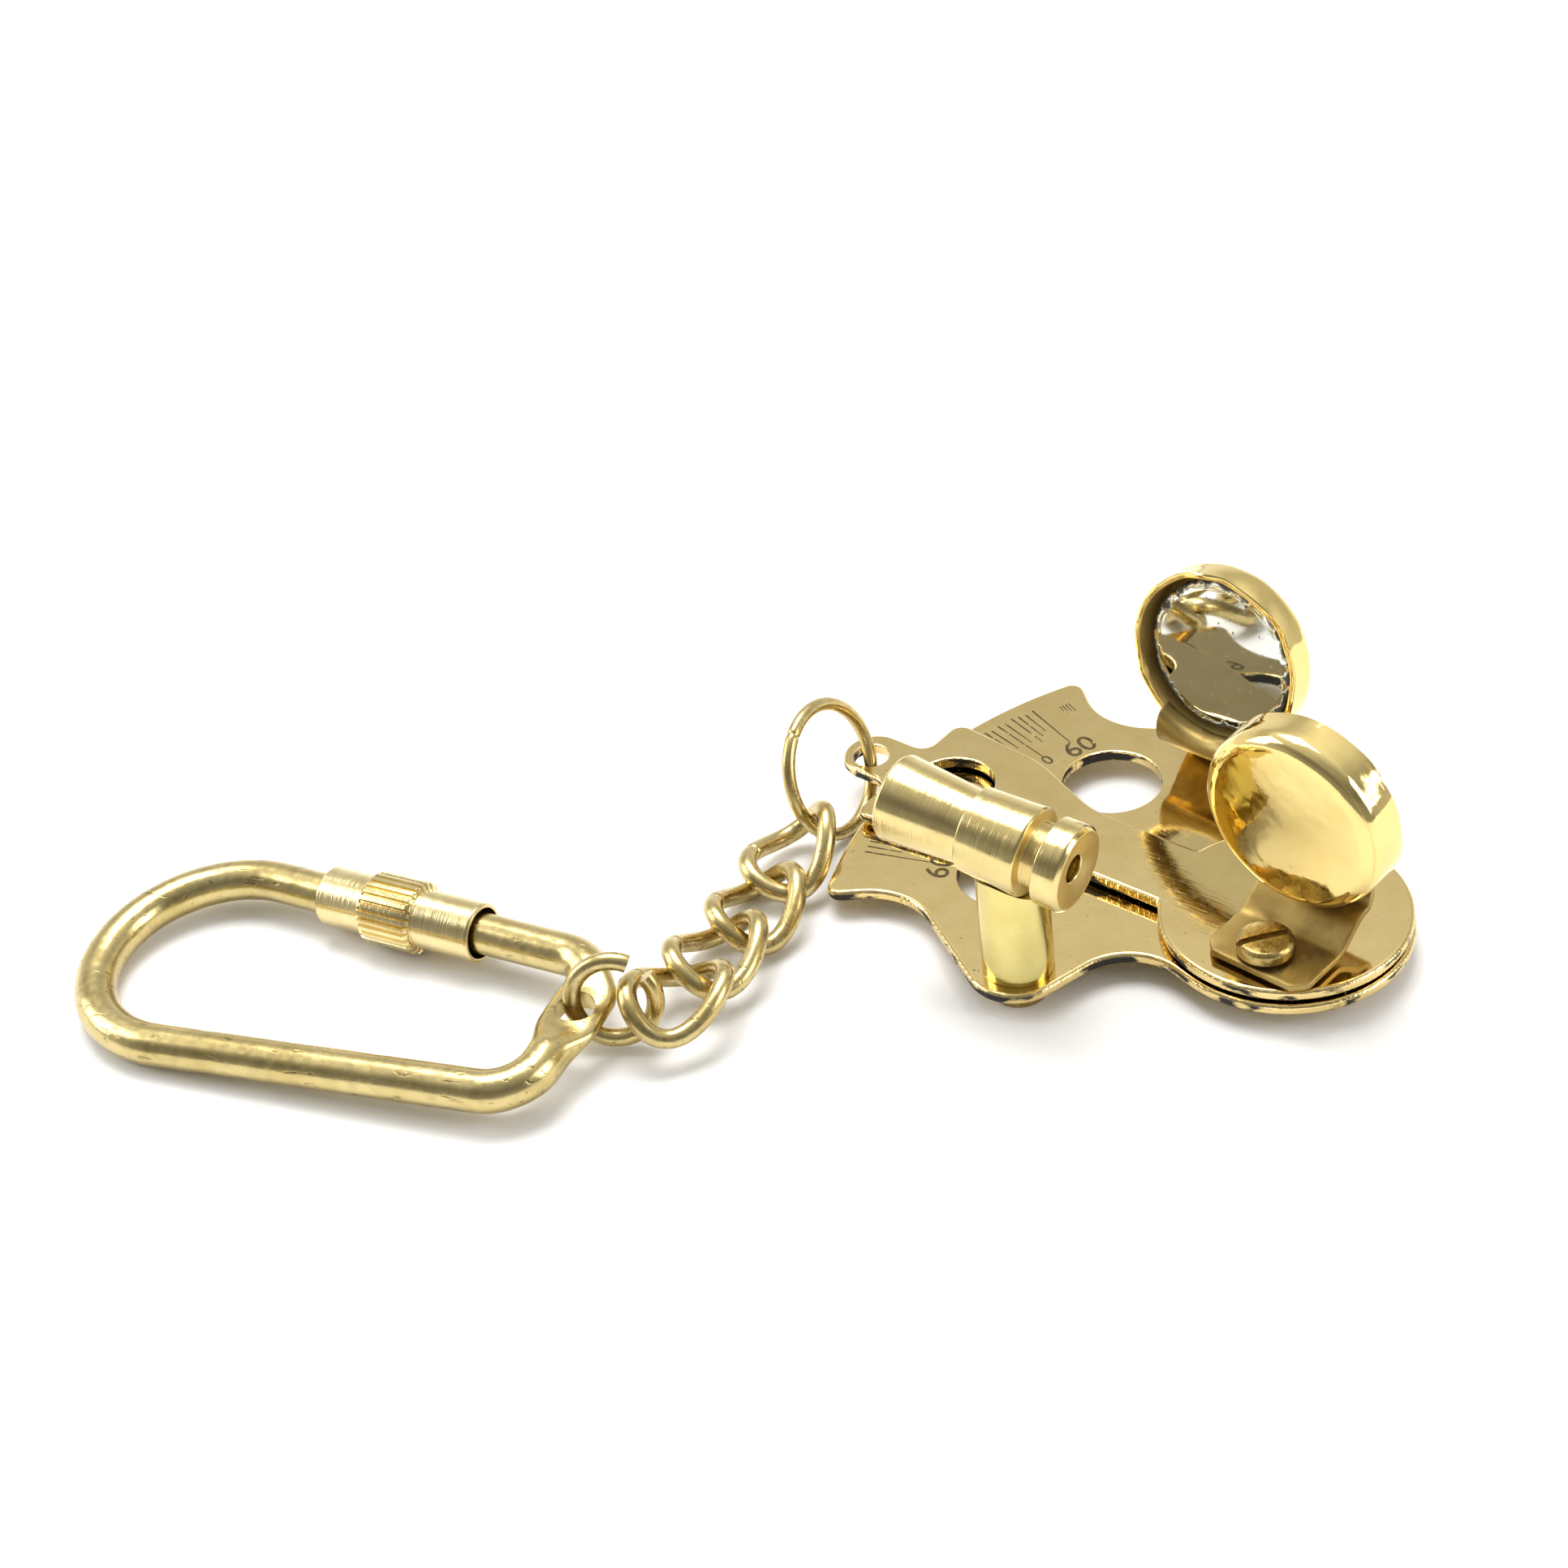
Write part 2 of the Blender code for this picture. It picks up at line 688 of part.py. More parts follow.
def loop_matrix():
    lean = Matrix.Rotation(-LOOP_PITCH, 4, "Y") @ Matrix.Rotation(LOOP_TILT, 4, "X")
    return Matrix.Translation(LOOP_ORIGIN) @ Matrix.Rotation(LOOP_TURN, 4, "Z") @ lean


def far_side():
    """Start point and direction, in the loop's plan, of its far straight side."""
    left = (*LOOP_LEFT, -1)
    far = (*LOOP_FAR, -1)
    heading = tangent_angle(left, far)
    (cx, cy), radius = LOOP_LEFT
    start = Vector((cx - radius * math.sin(heading), cy + radius * math.cos(heading)))
    return start, Vector((math.cos(heading), math.sin(heading)))


def resampled(path, spacing):
    """Points at an even spacing along a polyline, with its ends kept."""
    lengths = [0.0]
    for a, b in zip(path, path[1:]):
        lengths.append(lengths[-1] + math.dist(a, b))
    count = round(lengths[-1] / spacing)
    points = []
    k = 0
    for i in range(count + 1):
        target = lengths[-1] * i / count
        while k < len(path) - 2 and lengths[k + 1] < target:
            k += 1
        t = (target - lengths[k]) / (lengths[k + 1] - lengths[k])
        points.append(Vector(path[k]).lerp(Vector(path[k + 1]), t))
    return points


def flatten_pad(mesh, path):
    """Squeezes the rod flat and wide around the pad's centre."""
    centre = Vector(PAD_CENTRE)
    full = 2.0 * MM
    fade = 3.0 * MM
    for vertex in mesh.vertices:
        flat = vertex.co.xy
        reach = (flat - centre).length
        t = max(0.0, min(1.0, 1.0 - (reach - full) / fade))
        weight = t * t * (3.0 - 2.0 * t)
        if weight > 0.0:
            spine = min(path, key=lambda p: (p - flat).length)
            wide = spine + (flat - spine) * (1.0 + weight * (PAD_WIDTH / (2.0 * ROD_RADIUS) - 1.0))
            squeeze = 1.0 - weight * (1.0 - PAD_THICKNESS / (2.0 * ROD_RADIUS))
            vertex.co = (wide.x, wide.y, vertex.co.z * squeeze)


def key_loop(parts, cutters, material):
    start, along = far_side()
    left_end = start + along * (SLEEVE_START + ROD_INSIDE_SLEEVE)
    right_end = left_end + along * ROD_GAP
    circles = [
        (tuple(right_end), 0.0, -1),
        (*LOOP_FAR, -1),
        (*LOOP_NEAR, -1),
        (*LOOP_LEFT, -1),
        (tuple(left_end), 0.0, -1),
    ]
    outline = tangent_outline(circles, closed=False)
    path = resampled(outline, 1.6 * MM)
    obj = to_mesh(wire("key_loop", [(p.x, p.y, 0.0) for p in path], ROD_RADIUS, parts, False, 4))
    flatten_pad(obj.data, resampled(outline, 0.2 * MM))
    obj.matrix_world = loop_matrix()
    place = loop_matrix() @ Matrix.Translation((*PAD_CENTRE, 0.0))
    hole = pin("pad_hole", PAD_HOLE_RADIUS, -4.0 * MM, 4.0 * MM, 32, cutters, place)
    set_origin(obj, loop_matrix() @ Vector((*PAD_CENTRE, 0.0)))
    boolean(obj, hole)
    return finish_part(smooth(obj, 50.0), material)


def lock_sleeve(parts, material):
    """A turned sleeve about Z with a straight-knurled band and a step in its bore."""
    left, band, right = SLEEVE_ENDS
    length = left + band + right
    chamfer = 0.3 * MM
    profile = [
        (SLEEVE_RADII[2] - chamfer, length),
        (SLEEVE_RADII[2], length - chamfer),
        (SLEEVE_RADII[2], left + band),
        (SLEEVE_RADII[1] - chamfer, left + band),
        (SLEEVE_RADII[1], left + band - chamfer),
        (SLEEVE_RADII[1], left + chamfer),
        (SLEEVE_RADII[1] - chamfer, left),
        (SLEEVE_RADII[0], left),
        (SLEEVE_RADII[0], chamfer),
        (SLEEVE_RADII[0] - chamfer, 0.0),
        (SLEEVE_BORES[0], 0.0),
        (SLEEVE_BORES[0], left),
        (SLEEVE_BORES[1], left + 0.4 * MM),
        (SLEEVE_BORES[1], length),
    ]
    start, along = far_side()
    begin = start + along * SLEEVE_START
    heading = math.atan2(along.y, along.x)
    lay = Matrix.Translation((*begin, 0.0)) @ Matrix.Rotation(heading, 4, "Z")
    matrix = loop_matrix() @ lay @ Matrix.Rotation(math.pi / 2.0, 4, "Y")
    obj = turned("lock_sleeve", profile, 2 * KNURL_TEETH, parts, matrix, closed=True)
    smooth(obj)
    for vertex in obj.data.vertices:
        x, y, z = vertex.co
        radius = math.hypot(x, y)
        step = round(math.atan2(y, x) / (math.pi / KNURL_TEETH))
        if radius > SLEEVE_RADII[0] + 0.1 * MM and step % 2:
            scale = (radius - KNURL_DEPTH) / radius
            vertex.co = (x * scale, y * scale, z)
    obj.data.shade_flat()
    return finish_part(obj, material)


# ---------------------------------------------------------------- assembly

def build():
    clear_scene()
    parts = new_collection(OBJECT_NAME)
    cutters = new_collection("cutters")
    polished = metal("polished_brass", (0.78, 0.62, 0.30), 0.12)
    turned_brass = metal("turned_brass", (0.74, 0.62, 0.34), 0.28)
    aged = metal("aged_brass", (0.58, 0.50, 0.28), 0.38)
    silver = metal("silvered_glass", (0.86, 0.87, 0.86), 0.04)

    frame_plate(parts, polished)
    pivot_rivet(parts, polished)
    telescope(parts, cutters, turned_brass)
    telescope_post(parts, cutters, turned_brass)
    telescope_screw(parts, aged)
    index_arm(parts, cutters, polished)

    horizon_back = Vector((-14.14, 14.9, 14.2)) * MM
    horizon_screw = Vector((HORIZON_SCREW_X, HORIZON_SCREW_Y, 0.0))
    horizon = (math.radians(-90.4), math.radians(6.7))
    index_back = Vector((2.38, -3.72, 15.2)) * MM
    index_screw = Vector((INDEX_SCREW_X, INDEX_SCREW_Y, 0.0))
    index = (math.radians(87.8), math.radians(1.7))
    frame_foot = FRAME_TOP + GAP
    arm_foot = ARM_TOP + GAP
    foot_end = -4.45 * MM

    mirror_cup("horizon_mirror_cup", horizon_back, *horizon, frame_foot, foot_end,
               horizon_screw, parts, cutters, polished)
    mirror_glass("horizon_mirror_glass", horizon_back, *horizon, parts, silver)
    slotted_screw("horizon_mirror_screw", horizon_screw, frame_foot + FOOT_SHEET + GAP, GAP,
                  math.radians(30.0), parts, cutters, aged)
    hex_nut(parts, aged)
    mirror_cup("index_mirror_cup", index_back, *index, arm_foot, foot_end,
               index_screw, parts, cutters, polished)
    mirror_glass("index_mirror_glass", index_back, *index, parts, silver)
    slotted_screw("index_mirror_screw", index_screw, arm_foot + FOOT_SHEET + GAP,
                  ARM_BOTTOM + 0.15 * MM, math.radians(52.0), parts, cutters, aged)

    chain(parts, aged)
    key_loop(parts, cutters, aged)
    lock_sleeve(parts, turned_brass)


build()
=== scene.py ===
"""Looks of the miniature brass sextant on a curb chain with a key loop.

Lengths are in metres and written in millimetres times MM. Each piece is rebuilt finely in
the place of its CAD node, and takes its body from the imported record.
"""

import json
import math

import bmesh
import bpy
from mathutils import Euler, Matrix, Vector, geometry, noise


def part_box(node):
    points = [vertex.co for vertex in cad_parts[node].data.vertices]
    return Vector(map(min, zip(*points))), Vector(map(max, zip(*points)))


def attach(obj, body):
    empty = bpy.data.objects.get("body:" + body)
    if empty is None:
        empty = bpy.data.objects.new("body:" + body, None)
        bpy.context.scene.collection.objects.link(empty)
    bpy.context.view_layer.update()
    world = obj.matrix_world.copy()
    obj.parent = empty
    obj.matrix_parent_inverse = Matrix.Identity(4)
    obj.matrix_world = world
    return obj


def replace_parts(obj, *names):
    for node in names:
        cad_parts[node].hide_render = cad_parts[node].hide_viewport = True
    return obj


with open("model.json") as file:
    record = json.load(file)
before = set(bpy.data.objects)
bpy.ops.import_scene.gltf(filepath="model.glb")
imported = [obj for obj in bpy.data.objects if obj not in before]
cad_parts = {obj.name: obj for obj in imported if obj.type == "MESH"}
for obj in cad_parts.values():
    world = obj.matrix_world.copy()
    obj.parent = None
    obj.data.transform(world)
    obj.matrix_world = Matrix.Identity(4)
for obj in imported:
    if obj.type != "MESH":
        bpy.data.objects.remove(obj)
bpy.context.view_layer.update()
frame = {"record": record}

MM = 0.001
CHORD_ERROR = 0.002 * MM
MERGE = 0.000001
REPEAT = 0.01 * MM
RECORD = frame["record"]
BODY_OF = {node: body for body, nodes in RECORD["behaviour"]["bodies"].items() for node in nodes}


def middle(node):
    low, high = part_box(node)
    return (low + high) / 2.0


def heights(node):
    low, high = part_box(node)
    return low.z, high.z


def smooth(t):
    """Eases from 0 to 1 with level ends."""
    return t * t * (3.0 - 2.0 * t)


def even_steps(first, last, count):
    """The values of count even steps from first to last, both included."""
    return [first + (last - first) * i / count for i in range(count + 1)]


# Sheets and feet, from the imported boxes
FRAME_BOTTOM, FRAME_TOP = heights("frame_plate")
ARM_BOTTOM, ARM_TOP = heights("index_arm")
NUT_TOP = heights("horizon_mirror_nut")[1]
LIMB_RADIUS = -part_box("frame_plate")[0].x
POST = middle("telescope_post")
HORIZON_SCREW = middle("horizon_mirror_screw")
INDEX_SCREW = middle("index_mirror_screw")
SCREW_HOLE_RADIUS = 1.2 * MM
PIVOT_HOLE_RADIUS = 2.0 * MM
WINDOW_RADIUS = 4.15 * MM
WINDOW_X = -21.3 * MM
WINDOW_Y = 7.1 * MM
SHEET_EDGE = 0.35 * MM
FRAME_HOLE_EDGE = 0.14 * MM
ARM_HOLE_EDGE = 0.16 * MM
FRAME_DISC_RADIUS = 9.9 * MM

# Index arm, in its own plan frame
ARM_TURN = math.radians(1.1)
ARM_DISC_RADIUS = 9.75 * MM
BLADE_OFFSET = -1.1 * MM
TAB_HALF_WIDTH = 2.65 * MM
TAB_HOLE = (-39.5 * MM, -1.5 * MM)
TAB_HOLE_RADIUS = 1.5 * MM
ARM_WINDOW = (-31.2 * MM, -1.0 * MM)
ARM_WINDOW_RADIUS = 3.5 * MM

# Mirrors
CUP_RADIUS = 7.6 * MM
CUP_DEPTH = 3.8 * MM
CUP_WALL = 0.5 * MM
CUP_EDGE = 1.3 * MM
FOOT_WIDTH = 9.0 * MM
FOOT_SHEET = 0.6 * MM
FOOT_END = -4.45 * MM
FOOT_CORNER = 1.0 * MM
GLASS_RADIUS = 6.5 * MM
GLASS_THICKNESS = 1.5 * MM
GLASS_REST = 0.8 * MM
SCREW_HEAD_RADIUS = 2.2 * MM
SCREW_HEAD_HEIGHT = 1.2 * MM
HORIZON_CUP = (Vector((-14.14, 14.9, 14.2)) * MM, math.radians(-90.4), math.radians(6.7))
INDEX_CUP = (Vector((2.38, -3.72, 15.2)) * MM, math.radians(87.8), math.radians(1.7))

# Telescope
TELESCOPE_HEIGHT = 14.5 * MM
TELESCOPE_TURN = math.radians(6.4)
TELESCOPE_DIP = math.radians(5.2)
TELESCOPE_BACK = 10.0 * MM
COLLAR_RADIUS = 3.56 * MM
POST_RADIUS = 2.8 * MM
POST_BORE = 1.3 * MM

# Key loop, in its own plan frame
ROD_RADIUS = 1.7 * MM
LOOP_ORIGIN = Vector((-65.26, -60.3, 1.85)) * MM
LOOP_TURN = math.radians(20.7)
LOOP_PITCH = math.radians(2.0)
LOOP_TILT = math.radians(2.5)
LOOP_LEFT = ((0.0, 9.8 * MM), 9.8 * MM)
LOOP_NEAR = ((28.3 * MM, 4.5 * MM), 4.0 * MM)
LOOP_FAR = ((28.6 * MM, 11.6 * MM), 4.2 * MM)
PAD_CENTRE = (32.8 * MM, 9.6 * MM)
PAD_WIDTH = 5.2 * MM
PAD_THICKNESS = 1.8 * MM
PAD_HOLE_RADIUS = 1.6 * MM
SLEEVE_START = 5.1 * MM
SLEEVE_ENDS = (4.4 * MM, 5.1 * MM, 5.6 * MM)
SLEEVE_RADII = (2.5 * MM, 3.0 * MM, 2.45 * MM)
SLEEVE_BORES = (2.0 * MM, 2.1 * MM)
KNURL_TEETH = 28
KNURL_DEPTH = 0.3 * MM
ROD_INSIDE_SLEEVE = 1.5 * MM
ROD_GAP = 4.8 * MM

# Chain
LINK_WIRE = 0.78 * MM
LINK_HALF_LENGTH = 4.3 * MM
LINK_HALF_WIDTH = 3.2 * MM
LINK_TWIST = -1.2 * MM
LINKS = (
    ("chain_link_1", (-37.67, -14.77, 2.78), (-14, -10, 102)),
    ("chain_link_2", (-35.95, -21.25, 2.22), (-2, 2, 108)),
    ("chain_link_3", (-34.48, -27.67, 2.77), (-2, 7, 105)),
    ("chain_link_4", (-32.88, -33.96, 3.64), (4, 7, 90)),
)
JUMP_RING = ((-39.39, -7.4, 5.68), (70, 3, 99))
JUMP_RING_RADIUS = 5.45 * MM
JUMP_RING_WIRE = 0.56 * MM
LOOP_RING = ((-35.98, -37.56, 4.34), (75, 3, 35))
LOOP_RING_RADIUS = 3.28 * MM
LOOP_RING_WIRE = 0.71 * MM

# Studio
FAR_SIDE = (-0.716, 0.698, 0.0)
TENT_BANDS = ((0.25, 0.75), (0.45, 0.5), (0.6, 0.55), (0.8, 0.95))
SOFTBOXES = (
    ("overhead", (-0.25, 0.15, 0.75), (-0.03, -0.02, 0.0), (0.5, 0.4), 5.0),
    ("left", (-0.6, -0.35, 0.35), (-0.04, -0.02, 0.0), (0.35, 0.5), 2.2),
    ("right", (0.55, 0.25, 0.3), (-0.02, 0.0, 0.0), (0.3, 0.4), 2.0),
)
CAMERA_SPOT = Vector((85.75, -134.7, 139.3)) * MM
CAMERA_TARGET = Vector((-46.4, -6.2, 0.4)) * MM
CAMERA_ROLL = math.radians(-8.0)
CAMERA_LENS = 61.49


# -------- node materials

def add_node(owner, kind, inputs=None, **settings):
    """A new node of a material or a world. Inputs are given by name or by number, as a
    value or as another socket."""
    node = owner.node_tree.nodes.new(kind)
    for key, value in settings.items():
        setattr(node, key, value)
    for key, value in (inputs or {}).items():
        if isinstance(value, bpy.types.NodeSocket):
            owner.node_tree.links.new(value, node.inputs[key])
        else:
            node.inputs[key].default_value = value
    return node


def coords(mat, stretch=(1.0, 1.0, 1.0)):
    """Object coordinates in millimetres, each axis times its stretch."""
    place = add_node(mat, "ShaderNodeTexCoord")
    scale = [value / MM for value in stretch]
    settings = {"Vector": place.outputs["Object"], "Scale": scale}
    return add_node(mat, "ShaderNodeMapping", settings).outputs["Vector"]


def axis_value(mat, axis, source="Object"):
    place = add_node(mat, "ShaderNodeTexCoord")
    parts = add_node(mat, "ShaderNodeSeparateXYZ", {"Vector": place.outputs[source]})
    return parts.outputs[axis]


def axis_distance(mat):
    """Distance from the piece's own Z axis, in millimetres."""
    across = coords(mat, (1.0, 1.0, 0.0))
    return add_node(mat, "ShaderNodeVectorMath", {0: across}, operation="LENGTH").outputs["Value"]


def ramp(mat, value, low, high, first=0.0, last=1.0):
    """Maps low to first and high to last, clamped."""
    inputs = {"Value": value, "From Min": low, "From Max": high, "To Min": first, "To Max": last}
    return add_node(mat, "ShaderNodeMapRange", inputs).outputs["Result"]


def speckle(mat, per_mm, low=0.3, high=0.7, stretch=(1.0, 1.0, 1.0), detail=3.0):
    """Noise with per_mm features in a millimetre, stretched out to run from 0 to 1."""
    inputs = {"Vector": coords(mat, stretch), "Scale": per_mm, "Detail": detail}
    texture = add_node(mat, "ShaderNodeTexNoise", inputs)
    return ramp(mat, texture.outputs["Fac"], low, high)


def combine(mat, operation, a, b):
    return add_node(mat, "ShaderNodeMath", {0: a, 1: b}, operation=operation).outputs[0]


def blend_colour(mat, factor, a, b):
    first = a if isinstance(a, bpy.types.NodeSocket) else (*a, 1.0)
    second = b if isinstance(b, bpy.types.NodeSocket) else (*b, 1.0)
    inputs = {0: factor, 6: first, 7: second}
    return add_node(mat, "ShaderNodeMix", inputs, data_type="RGBA").outputs[2]


def bump(mat, height, depth, under=None):
    inputs = {"Height": height, "Distance": depth, "Strength": 1.0}
    if under is not None:
        inputs["Normal"] = under
    return add_node(mat, "ShaderNodeBump", inputs).outputs["Normal"]


def shader_input(mat, socket):
    return mat.node_tree.nodes["Principled BSDF"].inputs[socket]


def feed(mat, socket, value):
    mat.node_tree.links.new(value, shader_input(mat, socket))


def source(mat, socket):
    """The output that feeds a socket of the shader."""
    return shader_input(mat, socket).links[0].from_socket


def tinted(mat, factor, tint):
    """Lays a tint over the colour so far, wherever factor is near 1."""
    feed(mat, "Base Color", blend_colour(mat, factor, source(mat, "Base Color"), tint))


def dulled(mat, factor, roughest):
    """Makes the surface rougher, up to roughest where factor is 1."""
    duller = ramp(mat, factor, 0.0, 1.0, 0.0, roughest)
    feed(mat, "Roughness", combine(mat, "MAXIMUM", source(mat, "Roughness"), duller))


def metal(name, bright, deep, smoothest, roughest, blotch=0.35):
    """A metal whose colour and gloss drift, with blotch colour patches in a millimetre."""
    mat = bpy.data.materials.new(name)
    mat.use_nodes = True
    shader_input(mat, "Metallic").default_value = 1.0
    feed(mat, "Base Color", blend_colour(mat, speckle(mat, blotch), bright, deep))
    gloss = speckle(mat, 1.7, detail=5.0)
    feed(mat, "Roughness", ramp(mat, gloss, 0.0, 1.0, smoothest, roughest))
    return mat


def scratches(mat, stretch, per_mm, depth, under=None, low=0.52, high=0.72):
    return bump(mat, speckle(mat, per_mm, low, high, stretch, 2.0), depth, under)


def dirty(mat, factor, dark):
    """Covers a metal with dull dark dirt wherever factor is near 1."""
    tinted(mat, factor, dark)
    dulled(mat, factor, 0.6)
    feed(mat, "Metallic", ramp(mat, factor, 0.0, 1.0, 1.0, 0.35))


def sheet_brass():
    """Buffed sheet: hairline scratches on the faces, and black oxide left on the cut edges."""
    mat = metal("sheet_brass", (0.81, 0.63, 0.285), (0.75, 0.57, 0.235), 0.035, 0.11)
    upward = axis_value(mat, "Z", "Normal")
    edge = combine(mat, "MULTIPLY", ramp(mat, upward, 0.85, 0.4), ramp(mat, upward, -0.98, -0.8))
    low = combine(mat, "MULTIPLY", edge, ramp(mat, upward, 0.7, 0.2))
    patches = speckle(mat, 0.3, 0.49, 0.55, (1.0, 1.0, 2.5), 8.0)
    pits = combine(mat, "MULTIPLY", speckle(mat, 2.6, 0.69, 0.75, detail=2.0), 0.8)
    oxide = combine(mat, "MAXIMUM", combine(mat, "MULTIPLY", low, patches), pits)
    dirty(mat, oxide, (0.022, 0.018, 0.014))
    lines = scratches(mat, (0.06, 1.0, 1.0), 5.0, 0.0012 * MM)
    lines = scratches(mat, (1.0, 0.08, 1.0), 7.0, 0.0008 * MM, lines)
    waves = bump(mat, speckle(mat, 0.12), 0.012 * MM, lines)
    chatter = combine(mat, "MULTIPLY", edge, speckle(mat, 3.0, stretch=(1.0, 1.0, 0.1)))
    feed(mat, "Normal", bump(mat, chatter, 0.05 * MM, waves))
    return mat


def drawn_brass():
    """Drawn cup: a mirror polish outside, and inside a dull lacquer-brown tarnish that is partly painted
    light: the inside is made part diffuse so that its shaded hollow reads brighter.
    """
    mat = metal("drawn_brass", (0.86, 0.68, 0.28), (0.81, 0.61, 0.225), 0.03, 0.1, 0.2)
    wall = (CUP_RADIUS - 0.45 * CUP_WALL) / MM
    inside = ramp(mat, axis_distance(mat), wall, wall - 0.15)
    above = ramp(mat, axis_value(mat, "Z"), 0.8 * CUP_WALL, CUP_WALL)
    patchy = ramp(mat, speckle(mat, 0.5, detail=5.0), 0.0, 1.0, 0.55, 1.0)
    tarnish_and_painted_light = combine(mat, "MULTIPLY", combine(mat, "MULTIPLY", inside, above), patchy)
    # Inside the wall the colour goes browner and part diffuse: partly real tarnish, partly painted light
    # that brightens the shade of the cup's deep hollow.
    tinted(mat, tarnish_and_painted_light, (0.74, 0.53, 0.17))
    dulled(mat, tarnish_and_painted_light, 0.5)
    feed(mat, "Metallic", ramp(mat, tarnish_and_painted_light, 0.0, 1.0, 1.0, 0.55))
    lines = scratches(mat, (0.3, 0.3, 1.0), 4.0, 0.002 * MM)
    feed(mat, "Normal", bump(mat, speckle(mat, 0.16), 0.06 * MM, lines))
    return mat


def foot_brass():
    """Bent strip of the mirror cups: brushed, brown-gold and dull."""
    mat = metal("foot_brass", (0.42, 0.31, 0.11), (0.32, 0.22, 0.07), 0.36, 0.5, 0.3)
    tinted(mat, speckle(mat, 0.5, 0.55, 0.85, detail=6.0), (0.16, 0.10, 0.035))
    feed(mat, "Normal", scratches(mat, (0.05, 1.0, 1.0), 9.0, 0.002 * MM, low=0.35, high=0.7))
    return mat


def turned_brass(name, bright, deep, smoothest, roughest, groove):
    """Turned work: fine tool lines run round the piece's own Z axis, and its ends are duller."""
    mat = metal(name, bright, deep, smoothest, roughest)
    lines = speckle(mat, 9.0, 0.25, 0.75, (0.02, 0.02, 1.0), 3.0)
    broad = speckle(mat, 1.6, 0.3, 0.7, (0.03, 0.03, 1.0), 2.0)
    tinted(mat, combine(mat, "MULTIPLY", broad, 0.35), deep)
    facing = combine(mat, "ABSOLUTE", axis_value(mat, "Z", "Normal"), 0.0)
    dulled(mat, ramp(mat, facing, 0.6, 0.9), 0.42)
    feed(mat, "Normal", bump(mat, broad, 1.5 * groove, bump(mat, lines, groove)))
    return mat


def satin_brass(name, bright, deep, smoothest, roughest, dent):
    """Aged wire and rod: satin, with faint olive stains and short dark nicks."""
    mat = metal(name, bright, deep, smoothest, roughest, 0.25)
    stain = combine(mat, "MULTIPLY", speckle(mat, 0.9, 0.5, 0.85, detail=7.0), 0.5)
    nicks = speckle(mat, 2.0, 0.63, 0.7, (0.25, 1.0, 1.0), 3.0)
    marks = combine(mat, "MAXIMUM", stain, combine(mat, "MULTIPLY", nicks, 0.7))
    tinted(mat, marks, (0.24, 0.18, 0.07))
    grain = bump(mat, speckle(mat, 9.0, detail=3.0), 0.1 * dent, bump(mat, nicks, -1.5 * dent))
    feed(mat, "Normal", bump(mat, speckle(mat, 0.35), 1.5 * dent, grain))
    return mat


def fastener_brass():
    """Screws and nut: dark with handling, and grimy in patches."""
    mat = metal("fastener_brass", (0.56, 0.42, 0.16), (0.38, 0.27, 0.09), 0.2, 0.38, 0.9)
    tinted(mat, speckle(mat, 1.8, 0.55, 0.75, detail=6.0), (0.10, 0.07, 0.03))
    feed(mat, "Normal", scratches(mat, (1.0, 0.12, 1.0), 8.0, 0.008 * MM, low=0.4, high=0.7))
    return mat


def silvered_glass():
    """A mirror front whose silver is chipped and dark towards the rim."""
    mat = metal("silvered_glass", (0.90, 0.91, 0.87), (0.83, 0.85, 0.83), 0.015, 0.04)
    ragged = combine(mat, "ADD", axis_distance(mat), speckle(mat, 1.1, detail=6.0))
    chipped = ramp(mat, ragged, 6.55, 6.8)
    specks = speckle(mat, 2.2, 0.70, 0.74, detail=1.0)
    worn = combine(mat, "MAXIMUM", chipped, combine(mat, "MULTIPLY", specks, 0.6))
    dirty(mat, worn, (0.10, 0.10, 0.09))
    crumbs = combine(mat, "MULTIPLY", chipped, speckle(mat, 3.0, detail=4.0))
    feed(mat, "Normal", bump(mat, crumbs, 0.12 * MM))
    return mat


def engraving_black():
    """The dark filling of the scale's cut lines."""
    mat = metal("engraving_black", (0.05, 0.04, 0.025), (0.12, 0.085, 0.035), 0.4, 0.7, 1.5)
    tinted(mat, speckle(mat, 2.0, 0.62, 0.7, detail=4.0), (0.55, 0.40, 0.16))
    return mat


# -------- mesh tools

def add_object(name, data, matrix=None):
    """A new object of the scene, from a mesh, a curve, a light or a camera."""
    obj = bpy.data.objects.new(name, data)
    bpy.context.scene.collection.objects.link(obj)
    if matrix is not None:
        obj.matrix_world = matrix
    return obj


def dress(obj, node, mat):
    """Paints a fine piece and lets it ride where its CAD node rides."""
    obj.data.materials.clear()
    obj.data.materials.append(mat)
    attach(obj, BODY_OF[node])
    return obj


def stands_for(obj, node, mat):
    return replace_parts(dress(obj, node, mat), node)


def evaluated_mesh(obj):
    """A new mesh of the object as its modifiers, or its curve settings, make it."""
    bpy.context.view_layer.update()
    ready = obj.evaluated_get(bpy.context.evaluated_depsgraph_get())
    return bpy.data.meshes.new_from_object(ready)


def baked(obj):
    """The object with its modifiers applied."""
    mesh = evaluated_mesh(obj)
    obj.modifiers.clear()
    obj.data = mesh
    return obj


def shaded(obj, sharp=35.0):
    """Smooth shading that keeps corners sharp and flats flat."""
    obj.data.shade_smooth()
    obj.data.set_sharp_from_angle(angle=math.radians(sharp))
    weigh = obj.modifiers.new("Weighted normals", "WEIGHTED_NORMAL")
    weigh.keep_sharp = True
    return obj


def cut(obj, cutter):
    """Takes the cutter out of the object and removes the cutter."""
    modifier = obj.modifiers.new("Cut", "BOOLEAN")
    modifier.operation = "DIFFERENCE"
    modifier.solver = "EXACT"
    modifier.object = cutter
    baked(obj)
    bpy.data.objects.remove(cutter, do_unlink=True)
    return obj


